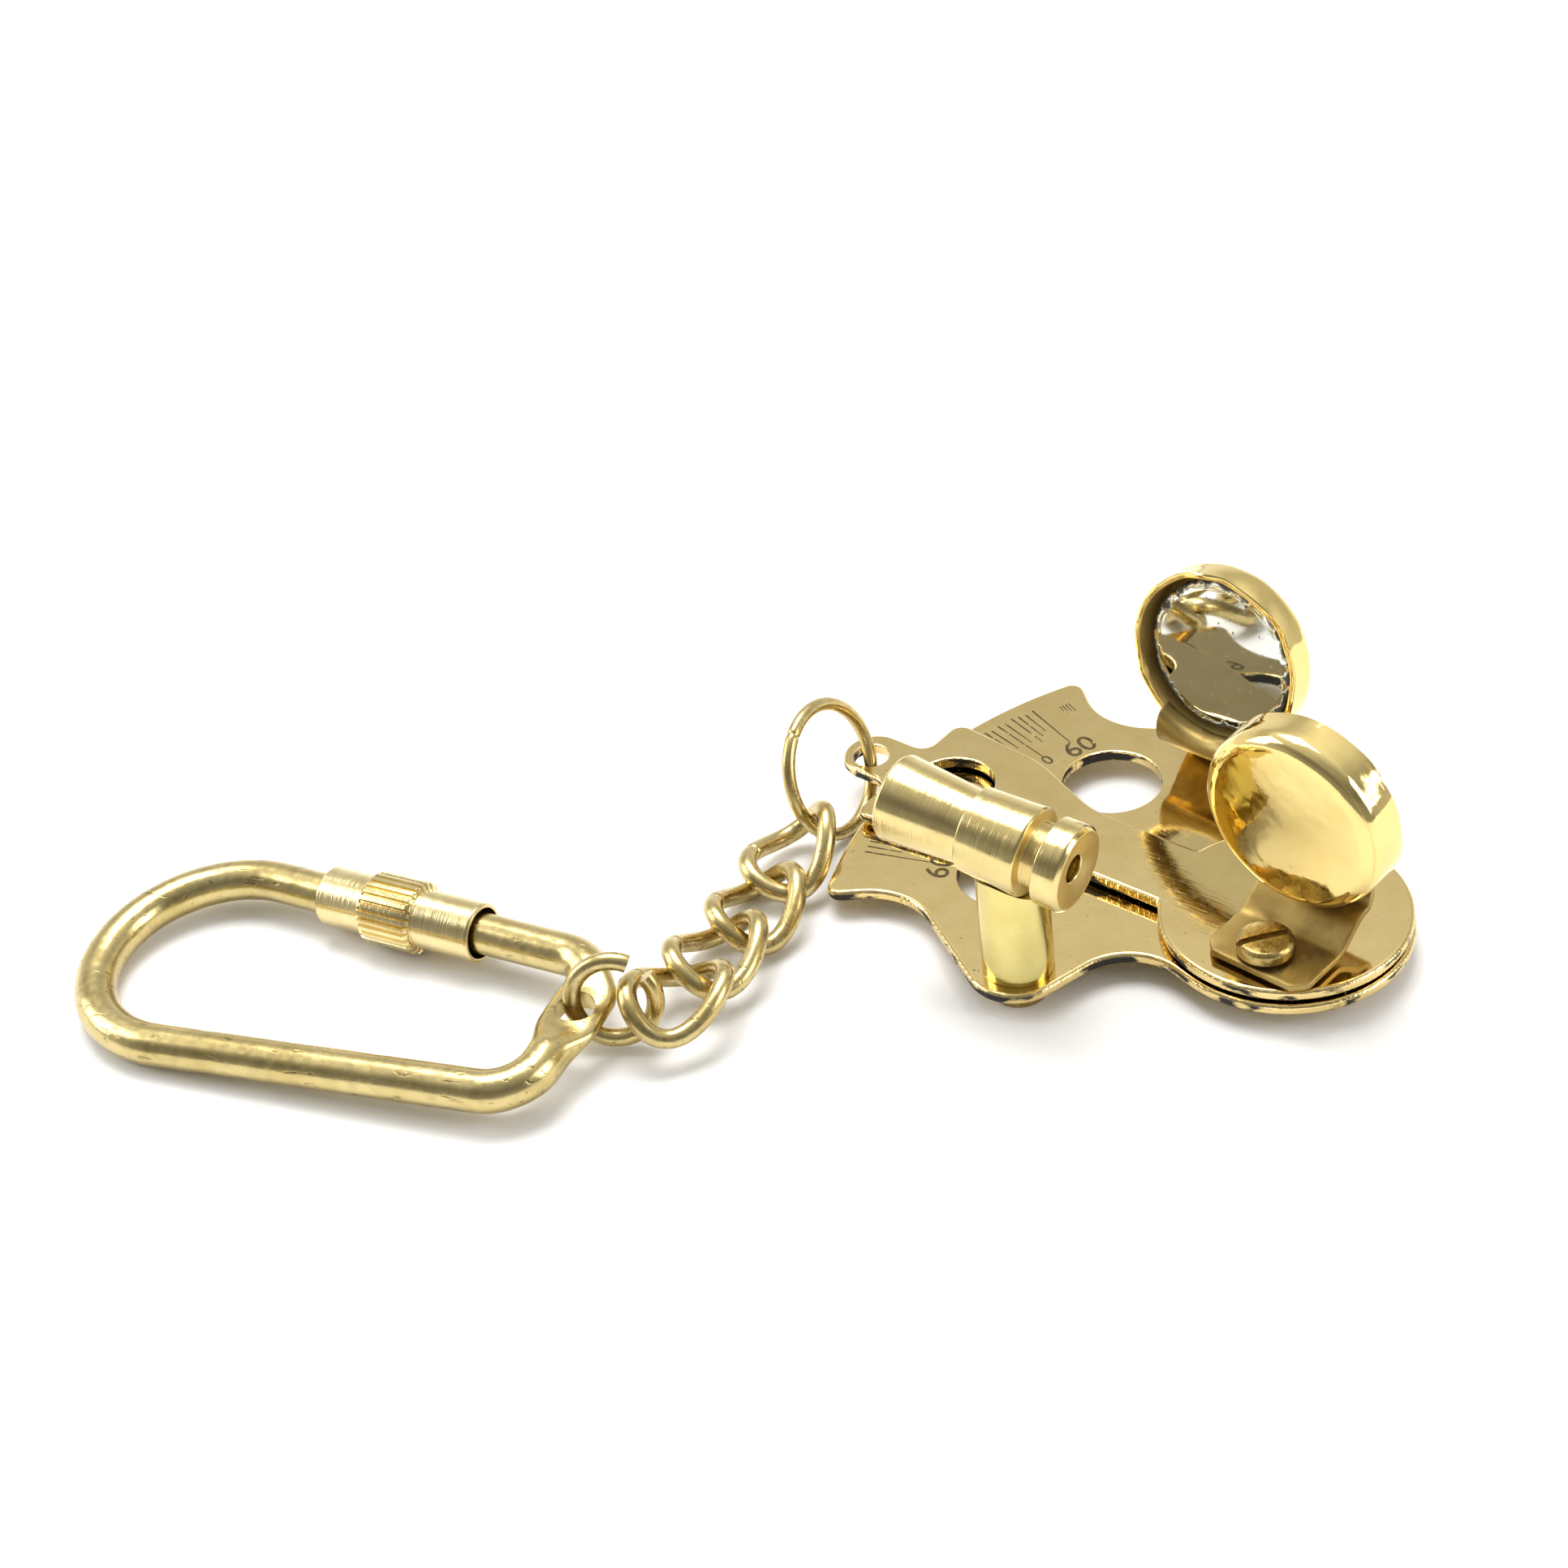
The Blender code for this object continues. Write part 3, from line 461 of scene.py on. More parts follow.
def rounded(profile, radius, closed=False, steps=4):
    """The profile with each corner rounded off over a length of radius."""
    count = len(profile)
    points = []
    for i, corner in enumerate(profile):
        if not closed and i in (0, count - 1):
            points.append(corner)
            continue
        here = Vector(corner)
        before = Vector(profile[i - 1]) - here
        after = Vector(profile[(i + 1) % count]) - here
        reach = min(radius, 0.45 * before.length, 0.45 * after.length)
        start = here + before.normalized() * reach
        end = here + after.normalized() * reach
        for k in range(steps + 1):
            t = k / steps
            point = start.lerp(here, t).lerp(here.lerp(end, t), t)
            points.append(tuple(point))
    return points


def lathe(name, profile, steps, matrix=None, closed=False, shape=None):
    """Turns a profile of (radius, height) about Z. Shape may move a point, given its radius,
    height and angle, and returns its new radius and height."""
    verts = []
    for i in range(steps):
        angle = 2.0 * math.pi * i / steps
        for radius, height in profile:
            r, z = shape(radius, height, angle) if shape else (radius, height)
            verts.append((r * math.cos(angle), r * math.sin(angle), z))
    count = len(profile)
    faces = []
    for i in range(steps):
        j = (i + 1) % steps
        for k in range(count if closed else count - 1):
            m = (k + 1) % count
            faces.append((i * count + k, i * count + m, j * count + m, j * count + k))
    mesh = bpy.data.meshes.new(name)
    mesh.from_pydata(verts, [], faces)
    welded(mesh)
    return add_object(name, mesh, matrix)


def welded(mesh):
    bm = bmesh.new()
    bm.from_mesh(mesh)
    bmesh.ops.remove_doubles(bm, verts=bm.verts, dist=MERGE)
    bmesh.ops.dissolve_degenerate(bm, edges=bm.edges, dist=MERGE)
    bmesh.ops.recalc_face_normals(bm, faces=bm.faces)
    bm.to_mesh(mesh)
    bm.free()


def rod(name, radius, bottom, top, matrix=None):
    return lathe(name, [(0.0, top), (radius, top), (radius, bottom), (0.0, bottom)], 96, matrix)


def placed(x, y, z=0.0, turn=0.0):
    return Matrix.Translation((x, y, z)) @ Matrix.Rotation(turn, 4, "Z")


# -------- plan outlines

def tangent_angle(a, b):
    """Direction of the line that leaves signed circle a and touches signed circle b."""
    dx = b[0][0] - a[0][0]
    dy = b[0][1] - a[0][1]
    lean = (b[2] * b[1] - a[2] * a[1]) / math.hypot(dx, dy)
    return math.atan2(dy, dx) - math.asin(max(-1.0, min(1.0, lean)))


def arc_points(circle, start, sweep):
    (cx, cy), radius, turn = circle
    step = 2.0 * math.acos(1.0 - CHORD_ERROR / radius)
    count = max(2, math.ceil(abs(sweep) / step))
    points = []
    for i in range(count + 1):
        angle = start + sweep * i / count
        points.append((cx + turn * radius * math.sin(angle), cy - turn * radius * math.cos(angle)))
    return points


def tangent_outline(circles, closed=True):
    """Joins circles by their tangent lines. A circle is (centre, radius, turn): turn +1 is
    walked anticlockwise and -1 clockwise. In an open path the end circles have no radius."""
    count = len(circles)
    links = count if closed else count - 1
    headings = [tangent_angle(circles[i], circles[(i + 1) % count]) for i in range(links)]
    points = []
    for i, circle in enumerate(circles):
        if not closed and i in (0, count - 1):
            points.append(circle[0])
            continue
        turn = circle[2]
        before = headings[i - 1]
        sweep = (headings[i] - before) * turn % (2.0 * math.pi) * turn
        if abs(sweep) > 1.95 * math.pi:
            sweep = 0.0
        points += arc_points(circle, before, sweep)
    return without_repeats(points, closed)


def without_repeats(points, closed=True):
    """Drops each point that lies on the one before it."""
    kept = []
    for point in points:
        if not kept or math.dist(point, kept[-1]) > REPEAT:
            kept.append(point)
    if closed and math.dist(kept[0], kept[-1]) <= REPEAT:
        kept.pop()
    return kept


def circle_outline(centre, radius):
    return without_repeats(arc_points((centre, radius, 1), 0.0, 2.0 * math.pi))


def resampled(path, spacing):
    """Points at an even spacing along an open polyline."""
    lengths = [0.0]
    for a, b in zip(path, path[1:]):
        lengths.append(lengths[-1] + math.dist(a, b))
    count = max(1, round(lengths[-1] / spacing))
    points = []
    k = 0
    for i in range(count + 1):
        target = lengths[-1] * i / count
        while k < len(path) - 2 and lengths[k + 1] < target:
            k += 1
        t = (target - lengths[k]) / (lengths[k + 1] - lengths[k])
        points.append(Vector(path[k]).lerp(Vector(path[k + 1]), t))
    return points


def side_normals(outline, side):
    """Unit vectors from each point of an outline into the sheet."""
    normals = []
    for i in range(len(outline)):
        before = Vector(outline[i - 1])
        after = Vector(outline[(i + 1) % len(outline)])
        along = (after - before).normalized()
        normals.append(Vector((-along.y, along.x)) * side)
    return normals


def edge_profile(bottom, top, radius, steps=6):
    """(inset, height, lean) down a rounded edge. Lean is 90 degrees on the top face."""
    levels = []
    for k in range(steps + 1):
        angle = math.radians(90.0 * (1.0 - k / steps))
        inset = radius * (1.0 - math.cos(angle))
        levels.append((inset, top - radius * (1.0 - math.sin(angle)), angle))
    return levels + [(inset, bottom + top - z, -angle) for inset, z, angle in levels[::-1]]


def sheet(name, outlines, profiles, matrix=None):
    """A flat sheet: the first outline is its edge, the others are its holes, and each has
    its own edge profile. Its normals come from the profiles, so that the faces stay flat."""
    verts = []
    normals = []
    faces = []
    top_loops = []
    bottom_loops = []
    for which, (outline, levels) in enumerate(zip(outlines, profiles)):
        inwards = side_normals(outline, 1.0 if which == 0 else -1.0)
        count = len(outline)
        base = len(verts)
        for inset, height, lean in levels:
            for point, inward in zip(outline, inwards):
                spot = Vector(point) + inward * inset
                verts.append((spot.x, spot.y, height))
                out = -inward * math.cos(lean)
                normals.append((out.x, out.y, math.sin(lean)))
        for row in range(len(levels) - 1):
            for i in range(count):
                j = (i + 1) % count
                upper = base + row * count
                lower = upper + count
                quad = (upper + i, lower + i, lower + j, upper + j)
                faces.append(quad if which == 0 else quad[::-1])
        last = base + (len(levels) - 1) * count
        top_loops.append(list(range(base, base + count)))
        bottom_loops.append(list(range(last, last + count)))
    for loops, flip in ((top_loops, False), (bottom_loops, True)):
        faces += cap_faces(verts, loops, flip)
    mesh = bpy.data.meshes.new(name)
    mesh.from_pydata(verts, [], faces)
    mesh.shade_smooth()
    mesh.normals_split_custom_set_from_vertices(normals)
    return add_object(name, mesh, matrix)


def cap_faces(verts, loops, flip):
    """Triangles that fill the first loop around the others."""
    order = [index for loop in loops for index in loop]
    rings = [[Vector(verts[index]) for index in loop] for loop in loops]
    faces = []
    for triangle in geometry.tessellate_polygon(rings):
        a, b, c = (Vector(verts[order[k]]) for k in triangle)
        up = (b - a).cross(c - a).z > 0.0
        corners = tuple(order[k] for k in triangle)
        faces.append(corners if up != flip else corners[::-1])
    return faces


# -------- frame and arm

def frame_outline():
    """The disc, then a neck, a lobe, a scallop and a corner on each side of the limb."""
    half = [
        ((-5.0 * MM, 13.9 * MM), 4.75 * MM, -1),
        ((-14.3 * MM, 15.4 * MM), 3.9 * MM, 1),
        ((-26.1 * MM, 20.0 * MM), 5.8 * MM, -1),
        ((-31.74 * MM, 15.69 * MM), 1.1 * MM, 1),
    ]
    mirrored = [((x, -y), radius, turn) for (x, y), radius, turn in half[::-1]]
    disc = ((0.0, 0.0), FRAME_DISC_RADIUS, 1)
    limb = ((0.0, 0.0), LIMB_RADIUS, 1)
    return tangent_outline([disc, *half, limb, *mirrored])


def frame_plate(mat):
    holes = [
        circle_outline((0.0, 0.0), PIVOT_HOLE_RADIUS),
        circle_outline((WINDOW_X, WINDOW_Y), WINDOW_RADIUS),
        circle_outline((WINDOW_X, -WINDOW_Y), WINDOW_RADIUS),
        circle_outline((POST.x, POST.y), POST_BORE),
        circle_outline((HORIZON_SCREW.x, HORIZON_SCREW.y), SCREW_HOLE_RADIUS),
    ]
    edge = edge_profile(FRAME_BOTTOM, FRAME_TOP, SHEET_EDGE)
    crisp = edge_profile(FRAME_BOTTOM, FRAME_TOP, FRAME_HOLE_EDGE)
    obj = sheet("frame_sheet", [frame_outline(), *holes], [edge] + [crisp] * len(holes))
    return stands_for(obj, "frame_plate", mat)


def arm_outline():
    """The disc, the blade that widens round the window, and the tab with a round end."""
    corner = 0.4 * MM
    blade = 3.4 * MM

    def side(turn):
        corner_y = BLADE_OFFSET + turn * (blade + corner)
        corner_x = -math.sqrt((ARM_DISC_RADIUS + corner) ** 2 - corner_y ** 2)
        return [
            ((corner_x, corner_y), corner, -1),
            ((-17.8 * MM, BLADE_OFFSET + turn * 12.0 * MM), 8.55 * MM, -1),
            ((-29.4 * MM, BLADE_OFFSET - turn * 3.3 * MM), 10.0 * MM, 1),
            ((-34.8 * MM, BLADE_OFFSET + turn * 6.0 * MM), 1.2 * MM, 1),
            ((-37.2 * MM, BLADE_OFFSET + turn * (TAB_HALF_WIDTH + 1.2 * MM)), 1.2 * MM, -1),
        ]

    disc = ((0.0, 0.0), ARM_DISC_RADIUS, 1)
    tab = ((-39.45 * MM, BLADE_OFFSET), TAB_HALF_WIDTH, 1)
    return tangent_outline([disc, *side(1), tab, *side(-1)[::-1]])


def index_arm(mat):
    """The arm's sheet. Its pivot hole is countersunk for the flared end of the rivet."""
    sink = 0.9 * MM
    sliver = 0.02 * MM
    slope = math.radians(45.0)
    pivot_edge = [
        (sink, ARM_TOP, math.radians(90.0)),
        (sink - sliver, ARM_TOP - sliver, slope),
        (0.0, ARM_TOP - sink, slope),
        (0.0, ARM_BOTTOM, 0.0),
    ]
    edge = edge_profile(ARM_BOTTOM, ARM_TOP, SHEET_EDGE)
    crisp = edge_profile(ARM_BOTTOM, ARM_TOP, ARM_HOLE_EDGE)
    local_screw = Matrix.Rotation(-ARM_TURN, 4, "Z") @ INDEX_SCREW
    outlines = [
        arm_outline(),
        circle_outline((0.0, 0.0), PIVOT_HOLE_RADIUS),
        circle_outline(ARM_WINDOW, ARM_WINDOW_RADIUS),
        circle_outline(TAB_HOLE, TAB_HOLE_RADIUS),
        circle_outline((local_screw.x, local_screw.y), SCREW_HOLE_RADIUS),
    ]
    profiles = [edge, pivot_edge, crisp, crisp, crisp]
    obj = sheet("arm_sheet", outlines, profiles, Matrix.Rotation(ARM_TURN, 4, "Z"))
    return stands_for(obj, "index_arm", mat)


def pivot_rivet(mat):
    """Domed head below, shank through both sheets, and a flared end hammered flush."""
    flare = 2.82 * MM
    shank = 1.85 * MM
    head = 2.6 * MM
    dip = 0.03 * MM
    profile = [(0.0, ARM_TOP - dip), (flare, ARM_TOP), (shank, ARM_TOP - flare + shank)]
    profile += [(shank, NUT_TOP), (head, NUT_TOP), (head, 0.0), (0.0, 0.0)]
    return stands_for(shaded(lathe("rivet", rounded(profile, 0.3 * MM), 128)), "pivot_rivet", mat)


def mark(bm, angle, outer, inner, width, top):
    """One thin scale line along a radius, tapering inwards. Its top stands at height top."""
    along = Vector((-math.cos(angle), math.sin(angle)))
    across = Vector((-along.y, along.x)) * width / 2.0
    sunk = top - 0.02 * MM
    corners = []
    for radius, taper in ((outer, 1.0), (inner, 0.55)):
        for side in (1.0, -1.0):
            spot = along * radius + across * side * taper
            corners.append((spot.x, spot.y))
    low = [bm.verts.new((x, y, sunk)) for x, y in corners]
    high = [bm.verts.new((x, y, top)) for x, y in corners]
    order = (0, 1, 3, 2)
    bm.faces.new([high[k] for k in order])
    for a, b in zip(order, order[1:] + order[:1]):
        bm.faces.new((low[a], low[b], high[b], high[a]))


def numeral(bm, text, angle, radius, size, top):
    """A generic scale number that reads from the pivot."""
    curve = bpy.data.curves.new("numeral", "FONT")
    curve.body = text
    curve.size = size
    curve.align_x = "CENTER"
    curve.align_y = "CENTER"
    curve.offset = 0.02 * MM
    obj = add_object("numeral", curve)
    mesh = evaluated_mesh(obj)
    spot = Vector((-radius * math.cos(angle), radius * math.sin(angle), top))
    mesh.transform(Matrix.Translation(spot) @ Matrix.Rotation(math.pi / 2.0 - angle, 4, "Z"))
    bm.from_mesh(mesh)
    bpy.data.objects.remove(obj, do_unlink=True)


def scale_engraving(mat):
    """Hand-cut lines and numbers on both ends of the limb, wherever the arm leaves it bare."""
    top = FRAME_TOP + 0.006 * MM
    outer = LIMB_RADIUS - 1.6 * MM
    first = 9.8
    step = 1.2
    lines = 9
    long_mark = 5.9
    short_mark = 3.8
    bm = bmesh.new()
    for side in (1.0, -1.0):
        for k in range(lines):
            wobble = noise.noise(Vector((k * 1.7, side, 0.3)))
            angle = side * math.radians(first + step * k + 0.5 * wobble)
            length = (long_mark if k % 5 == 3 else short_mark + 1.6 * wobble) * MM
            mark(bm, angle, outer + 0.5 * wobble * MM, outer - length, 0.17 * MM, top)
        numeral(bm, "0", side * math.radians(first + 3.0 * step), 28.3 * MM, 1.7 * MM, top)
        numeral(bm, "60", side * math.radians(first + 8.4 * step), 28.0 * MM, 2.9 * MM, top)
    for k in range(4):
        angle = math.radians(23.0 + 0.5 * k)
        mark(bm, angle, 33.9 * MM, (33.2 - 0.2 * k) * MM, 0.12 * MM, top)
    mesh = bpy.data.meshes.new("scale_engraving")
    bm.to_mesh(mesh)
    bm.free()
    return dress(add_object("scale_engraving", mesh), "frame_plate", mat)


# -------- mirrors

def opening_matrix(back, heading, rise):
    """Stands a cup on its edge: its Z turns to the heading, and points up by rise."""
    face = Matrix.Rotation(heading, 4, "Z") @ Matrix.Rotation(math.pi / 2.0 - rise, 4, "Y")
    return Matrix.Translation(back) @ face


def cup_profile():
    """A drawn cup's wall from the middle of its inside, round its lip, to the middle of its
    back, which is slightly crowned."""
    outer = CUP_RADIUS
    inner = CUP_RADIUS - CUP_WALL
    quarter = math.pi / 2.0
    lip = 0.12 * MM
    crown = 0.16 * MM

    def bend(side, radius, angles):
        return [(side - radius * (1.0 - math.cos(a)), CUP_EDGE - radius * math.sin(a)) for a in angles]

    profile = [(0.0, CUP_WALL)]
    profile += bend(inner, CUP_EDGE - CUP_WALL, even_steps(quarter, 0.0, 8))
    profile += [(inner, height) for height in even_steps(CUP_EDGE, CUP_DEPTH - lip, 4)[1:]]
    profile += [(inner + lip, CUP_DEPTH), (outer - lip, CUP_DEPTH), (outer, CUP_DEPTH - lip)]
    profile += [(outer, height) for height in even_steps(CUP_DEPTH - lip, CUP_EDGE, 4)[1:-1]]
    profile += bend(outer, CUP_EDGE, even_steps(0.0, quarter, 12))
    for part in (0.72, 0.55, 0.36, 0.18, 0.0):
        profile.append((part * outer, -crown * (math.cos(math.pi * part) + 1.0) / 2.0))
    return profile


def cup(name, node, pose, ragged, seed, mat):
    """A drawn cup with a soft outer edge. Ragged is how far its torn rim wanders."""
    dent = 0.10 * MM

    def torn(radius, height, angle):
        near_rim = max(0.0, (height - CUP_EDGE) / (CUP_DEPTH - CUP_EDGE))
        spot = Vector((1.7 * math.cos(angle), 1.7 * math.sin(angle), seed))
        swing = 0.5 + 0.5 * noise.noise(spot) + 0.25 * noise.noise(2.0 * spot)
        squash = dent * noise.noise(1.4 * spot + Vector((0.0, 0.0, height / (2.0 * MM))))
        spread = 0.35 * ragged * near_rim ** 2 * noise.noise(1.2 * spot + Vector((3.0, 0.0, 0.0)))
        weight = radius / CUP_RADIUS
        return radius + weight * (squash + spread), height - ragged * near_rim ** 3 * swing

    obj = lathe(name, cup_profile(), 192, opening_matrix(*pose), shape=torn)
    return stands_for(shaded(obj), node, mat)


def strip_rows(drop):
    """(x, z, flatness) along the strip: from the cup's lip round a tight roll, then back and
    down to the foot. Flatness is 0 where the strip still follows the cup's round wall."""
    roll = 0.7 * MM
    roll_x = CUP_DEPTH + 0.3 * MM
    rows = [(CUP_DEPTH - 0.5 * MM, drop, 0.0), (CUP_DEPTH - 0.1 * MM, drop, 0.0)]
    for t in even_steps(0.0, 1.0, 14):
        angle = math.pi * (0.5 - t)
        rows.append((roll_x + roll * math.cos(angle), drop - roll + roll * math.sin(angle), smooth(t)))
    slope_end = 0.2 * MM
    low = drop - 2.0 * roll
    for t in even_steps(0.0, 1.0, 14)[1:]:
        rows.append((roll_x + (slope_end - roll_x) * t, low * (1.0 - smooth(t)), 1.0))
    rows += [(x, 0.0, 1.0) for x in even_steps(slope_end, FOOT_END, 12)[1:]]
    return rows


def strip(name, node, pose, foot_bottom, mat):
    """The strip under a cup, 9 mm wide, which ends in the foot with its corners cut off."""
    back, heading, rise = pose
    foot_centre = foot_bottom + FOOT_SHEET / 2.0
    wall = CUP_RADIUS - CUP_WALL / 2.0
    lip = back.z - wall + CUP_DEPTH * math.sin(rise)
    rows = strip_rows(lip - foot_centre)
    columns = 24
    verts = []
    for x, z, flat in rows:
        short = max(0.0, FOOT_CORNER - (x - FOOT_END))
        half = FOOT_WIDTH / 2.0 - (short if flat == 1.0 and z == 0.0 else 0.0)
        for k in range(columns + 1):
            y = half * (2.0 * k / columns - 1.0)
            rise_at_side = wall - math.sqrt(wall ** 2 - y ** 2)
            verts.append((x, y, z + (1.0 - flat) * rise_at_side))
    faces = []
    for i in range(len(rows) - 1):
        for k in range(columns):
            a = i * (columns + 1) + k
            faces.append((a, a + 1, a + columns + 2, a + columns + 1))
    mesh = bpy.data.meshes.new(name)
    mesh.from_pydata(verts, [], faces)
    obj = add_object(name, mesh, placed(back.x, back.y, foot_centre, heading))
    thick = obj.modifiers.new("Sheet", "SOLIDIFY")
    thick.thickness = FOOT_SHEET - 0.04 * MM
    thick.offset = 0.0
    thick.use_even_offset = True
    edge = obj.modifiers.new("Edge", "BEVEL")
    edge.width = 0.07 * MM
    edge.segments = 3
    edge.limit_method = "ANGLE"
    edge.angle_limit = math.radians(50.0)
    return dress(shaded(baked(obj), 50.0), node, mat)


def glass(name, node, pose, seed, mat):
    """A round mirror, its rim broken off in small flakes."""
    top = GLASS_REST + GLASS_THICKNESS
    bevel = 0.15 * MM
    flake = 0.6 * MM
    profile = [(radius, top) for radius in even_steps(0.0, 0.96 * GLASS_RADIUS, 11)]
    profile += [(GLASS_RADIUS - bevel, top - 0.02 * MM), (GLASS_RADIUS, top - bevel)]
    profile += [(GLASS_RADIUS, GLASS_REST), (0.0, GLASS_REST)]

    def flaked(radius, height, angle):
        if radius < 0.9 * GLASS_RADIUS:
            return radius, height
        spot = Vector((5.0 * math.cos(angle), 5.0 * math.sin(angle), seed))
        return radius - flake * max(0.0, noise.noise(spot)), height

    obj = lathe(name, profile, 256, opening_matrix(*pose), shape=flaked)
    return stands_for(shaded(obj, 25.0), node, mat)


def slotted_screw(node, slot_turn, mat):
    """A cheese-head screw with a sawn slot and a slightly domed head."""
    tip, top = heights(node)
    spot = middle(node)
    seat = top - SCREW_HEAD_HEIGHT
    shank = 0.9 * MM
    head = SCREW_HEAD_RADIUS
    slot = (6.0 * MM, 0.6 * MM, 1.1 * MM)
    profile = [(0.0, top), (0.6 * head, top - 0.03 * MM), (head - 0.28 * MM, top - 0.1 * MM)]
    profile += [(head, top - 0.38 * MM), (head, seat), (shank, seat), (shank, tip), (0.0, tip)]
    obj = lathe(node + "_turned", rounded(profile, 0.12 * MM), 128, placed(spot.x, spot.y))
    bpy.ops.mesh.primitive_cube_add(size=1.0)
    saw = bpy.context.object
    saw.data.transform(Matrix.Diagonal((*slot, 1.0)))
    saw.matrix_world = placed(spot.x, spot.y, top, slot_turn)
    return stands_for(shaded(cut(obj, saw)), node, mat)


def hex_nut(mat):
    """The nut under the frame, with its corners turned off."""
    flats = 2.2 * MM
    corner = flats / math.cos(math.pi / 6.0)
    bore = SCREW_HOLE_RADIUS - 0.25 * MM
    profile = [(bore, NUT_TOP), (corner, NUT_TOP), (corner, 0.0), (bore, 0.0)]

    def hexagon(radius, height, angle):
        across = (angle + math.pi / 6.0) % (math.pi / 3.0) - math.pi / 6.0
        return min(radius, flats / math.cos(across)), height

    spot = middle("horizon_mirror_nut")
    obj = lathe("nut_hex", rounded(profile, 0.15 * MM, True), 240, placed(spot.x, spot.y), True, hexagon)
    return stands_for(shaded(obj, 25.0), "horizon_mirror_nut", mat)


# -------- telescope

def telescope_matrix():
    """Takes Z along the telescope, from its objective end, into place."""
    turn = Matrix.Rotation(TELESCOPE_TURN, 4, "Z")
    lay = Matrix.Rotation(math.pi / 2.0 + TELESCOPE_DIP, 4, "Y")
    over_post = Matrix.Translation((POST.x, POST.y, TELESCOPE_HEIGHT))
    return over_post @ turn @ lay @ Matrix.Translation((0.0, 0.0, -TELESCOPE_BACK))


def telescope(mat):
    """One turned piece: dished eyepiece flange, neck, collar and a barrel that widens
    towards the objective end."""
    end = 15.9 * MM
    flange = 3.45 * MM
    flange_front = 13.7 * MM
    neck = 2.6 * MM
    tool_mark = 0.05 * MM
    collar_back = 12.0 * MM
    collar_front = 7.1 * MM
    bore = 1.1 * MM
    neck_rings = [(neck - tool_mark * (k % 2), (13.4 - 0.07 * k) * MM) for k in range(15)]
    profile = [
        (2.9 * MM, end),
        (3.12 * MM, end - 0.02 * MM),
        (flange, end - 0.35 * MM),
        (flange, flange_front),
        (neck, flange_front - 0.2 * MM),
        *neck_rings,
        (neck, collar_back + 0.3 * MM),
        (COLLAR_RADIUS - 0.1 * MM, collar_back + 0.2 * MM),
        (COLLAR_RADIUS, collar_back),
        (3.34 * MM, collar_front),
        (2.93 * MM, collar_front - 0.1 * MM),
        (COLLAR_RADIUS - 0.12 * MM, 0.25 * MM),
        (COLLAR_RADIUS - 0.3 * MM, 0.0),
        (neck, 0.0),
        (neck, 1.2 * MM),
        (bore, 1.8 * MM),
        (bore, end - 0.4 * MM),
    ]
    fine = rounded(profile, 0.09 * MM, True)
    obj = lathe("telescope_turned", fine, 192, telescope_matrix(), True)
    return stands_for(shaded(obj, 28.0), "telescope", mat)


def telescope_post(mat):
    """A pillar whose top is cut to the round of the collar."""
    top = TELESCOPE_HEIGHT - 2.0 * MM
    foot = FRAME_TOP
    chamfer = 0.12 * MM
    profile = [(POST_RADIUS, top), (POST_RADIUS, foot + chamfer), (POST_RADIUS - chamfer, foot)]
    profile += [(POST_BORE, foot), (POST_BORE, top)]
    obj = lathe("post_turned", profile, 160, placed(POST.x, POST.y), True)
    seat = COLLAR_RADIUS + 0.06 * MM
    saddle = rod("saddle", seat, -5.0 * MM, 25.0 * MM, telescope_matrix())
    return stands_for(shaded(cut(obj, saddle)), "telescope_post", mat)


def telescope_screw(mat):
    """The screw through the frame and the post. Its head is a foot of the object."""
    tip = TELESCOPE_HEIGHT - 2.5 * MM
    shank = 1.0 * MM
    head = 2.3 * MM
    profile = [(0.0, tip), (shank, tip), (shank, NUT_TOP), (head, NUT_TOP), (head, 0.0), (0.0, 0.0)]
    obj = lathe("foot_screw", rounded(profile, 0.2 * MM), 128, placed(POST.x, POST.y))
    return stands_for(shaded(obj), "telescope_screw", mat)


# -------- chain

def placement(centre, angles):
    turn = Euler([math.radians(a) for a in angles], "XYZ").to_matrix().to_4x4()
    return Matrix.Translation(Vector(centre) * MM) @ turn


def wire(name, points, radii, closed, roundness=10):
    """A round wire along the points, with a radius at each."""
    curve = bpy.data.curves.new(name, "CURVE")
    curve.dimensions = "3D"
    curve.bevel_depth = 1.0
    curve.bevel_resolution = roundness
    curve.use_fill_caps = True
    spline = curve.splines.new("POLY")
    spline.points.add(len(points) - 1)
    for point, spot, radius in zip(spline.points, points, radii):
        point.co = (*spot, 1.0)
        point.radius = radius
    spline.use_cyclic_u = closed
    obj = add_object(name, curve)
    mesh = evaluated_mesh(obj)
    bpy.data.objects.remove(obj, do_unlink=True)
    mesh.name = name
    welded(mesh)
    return add_object(name, mesh)


def seamed(count, radius, seam, seed):
    """Wire radii round a closed ring: hand-bent and uneven, with a nick where its ends meet."""
    unevenness = 0.03
    nick_depths = {0: 0.16, 1: 0.03}
    radii = []
    for i in range(count):
        drift = unevenness * noise.noise(Vector((i * 9.0 / count, seed, 0.0)))
        from_seam = min((i - seam) % count, (seam - i) % count)
        radii.append(radius * (1.0 + drift - nick_depths.get(from_seam, 0.0)))
    return radii


def link(node, centre, angles, seed, mat):
    """A flattened ring whose two long sides twist apart."""
    matrix = placement(centre, angles)
    count = 200
    points = []
    for i in range(count):
        angle = 2.0 * math.pi * i / count
        x = LINK_HALF_LENGTH * math.cos(angle)
        y = LINK_HALF_WIDTH * math.sin(angle)
        points.append(matrix @ Vector((x, y, LINK_TWIST * math.sin(2.0 * angle))))
    obj = wire(node + "_wire", points, seamed(count, LINK_WIRE, 3 * count // 10, seed), True)
    return stands_for(shaded(obj, 60.0), node, mat)


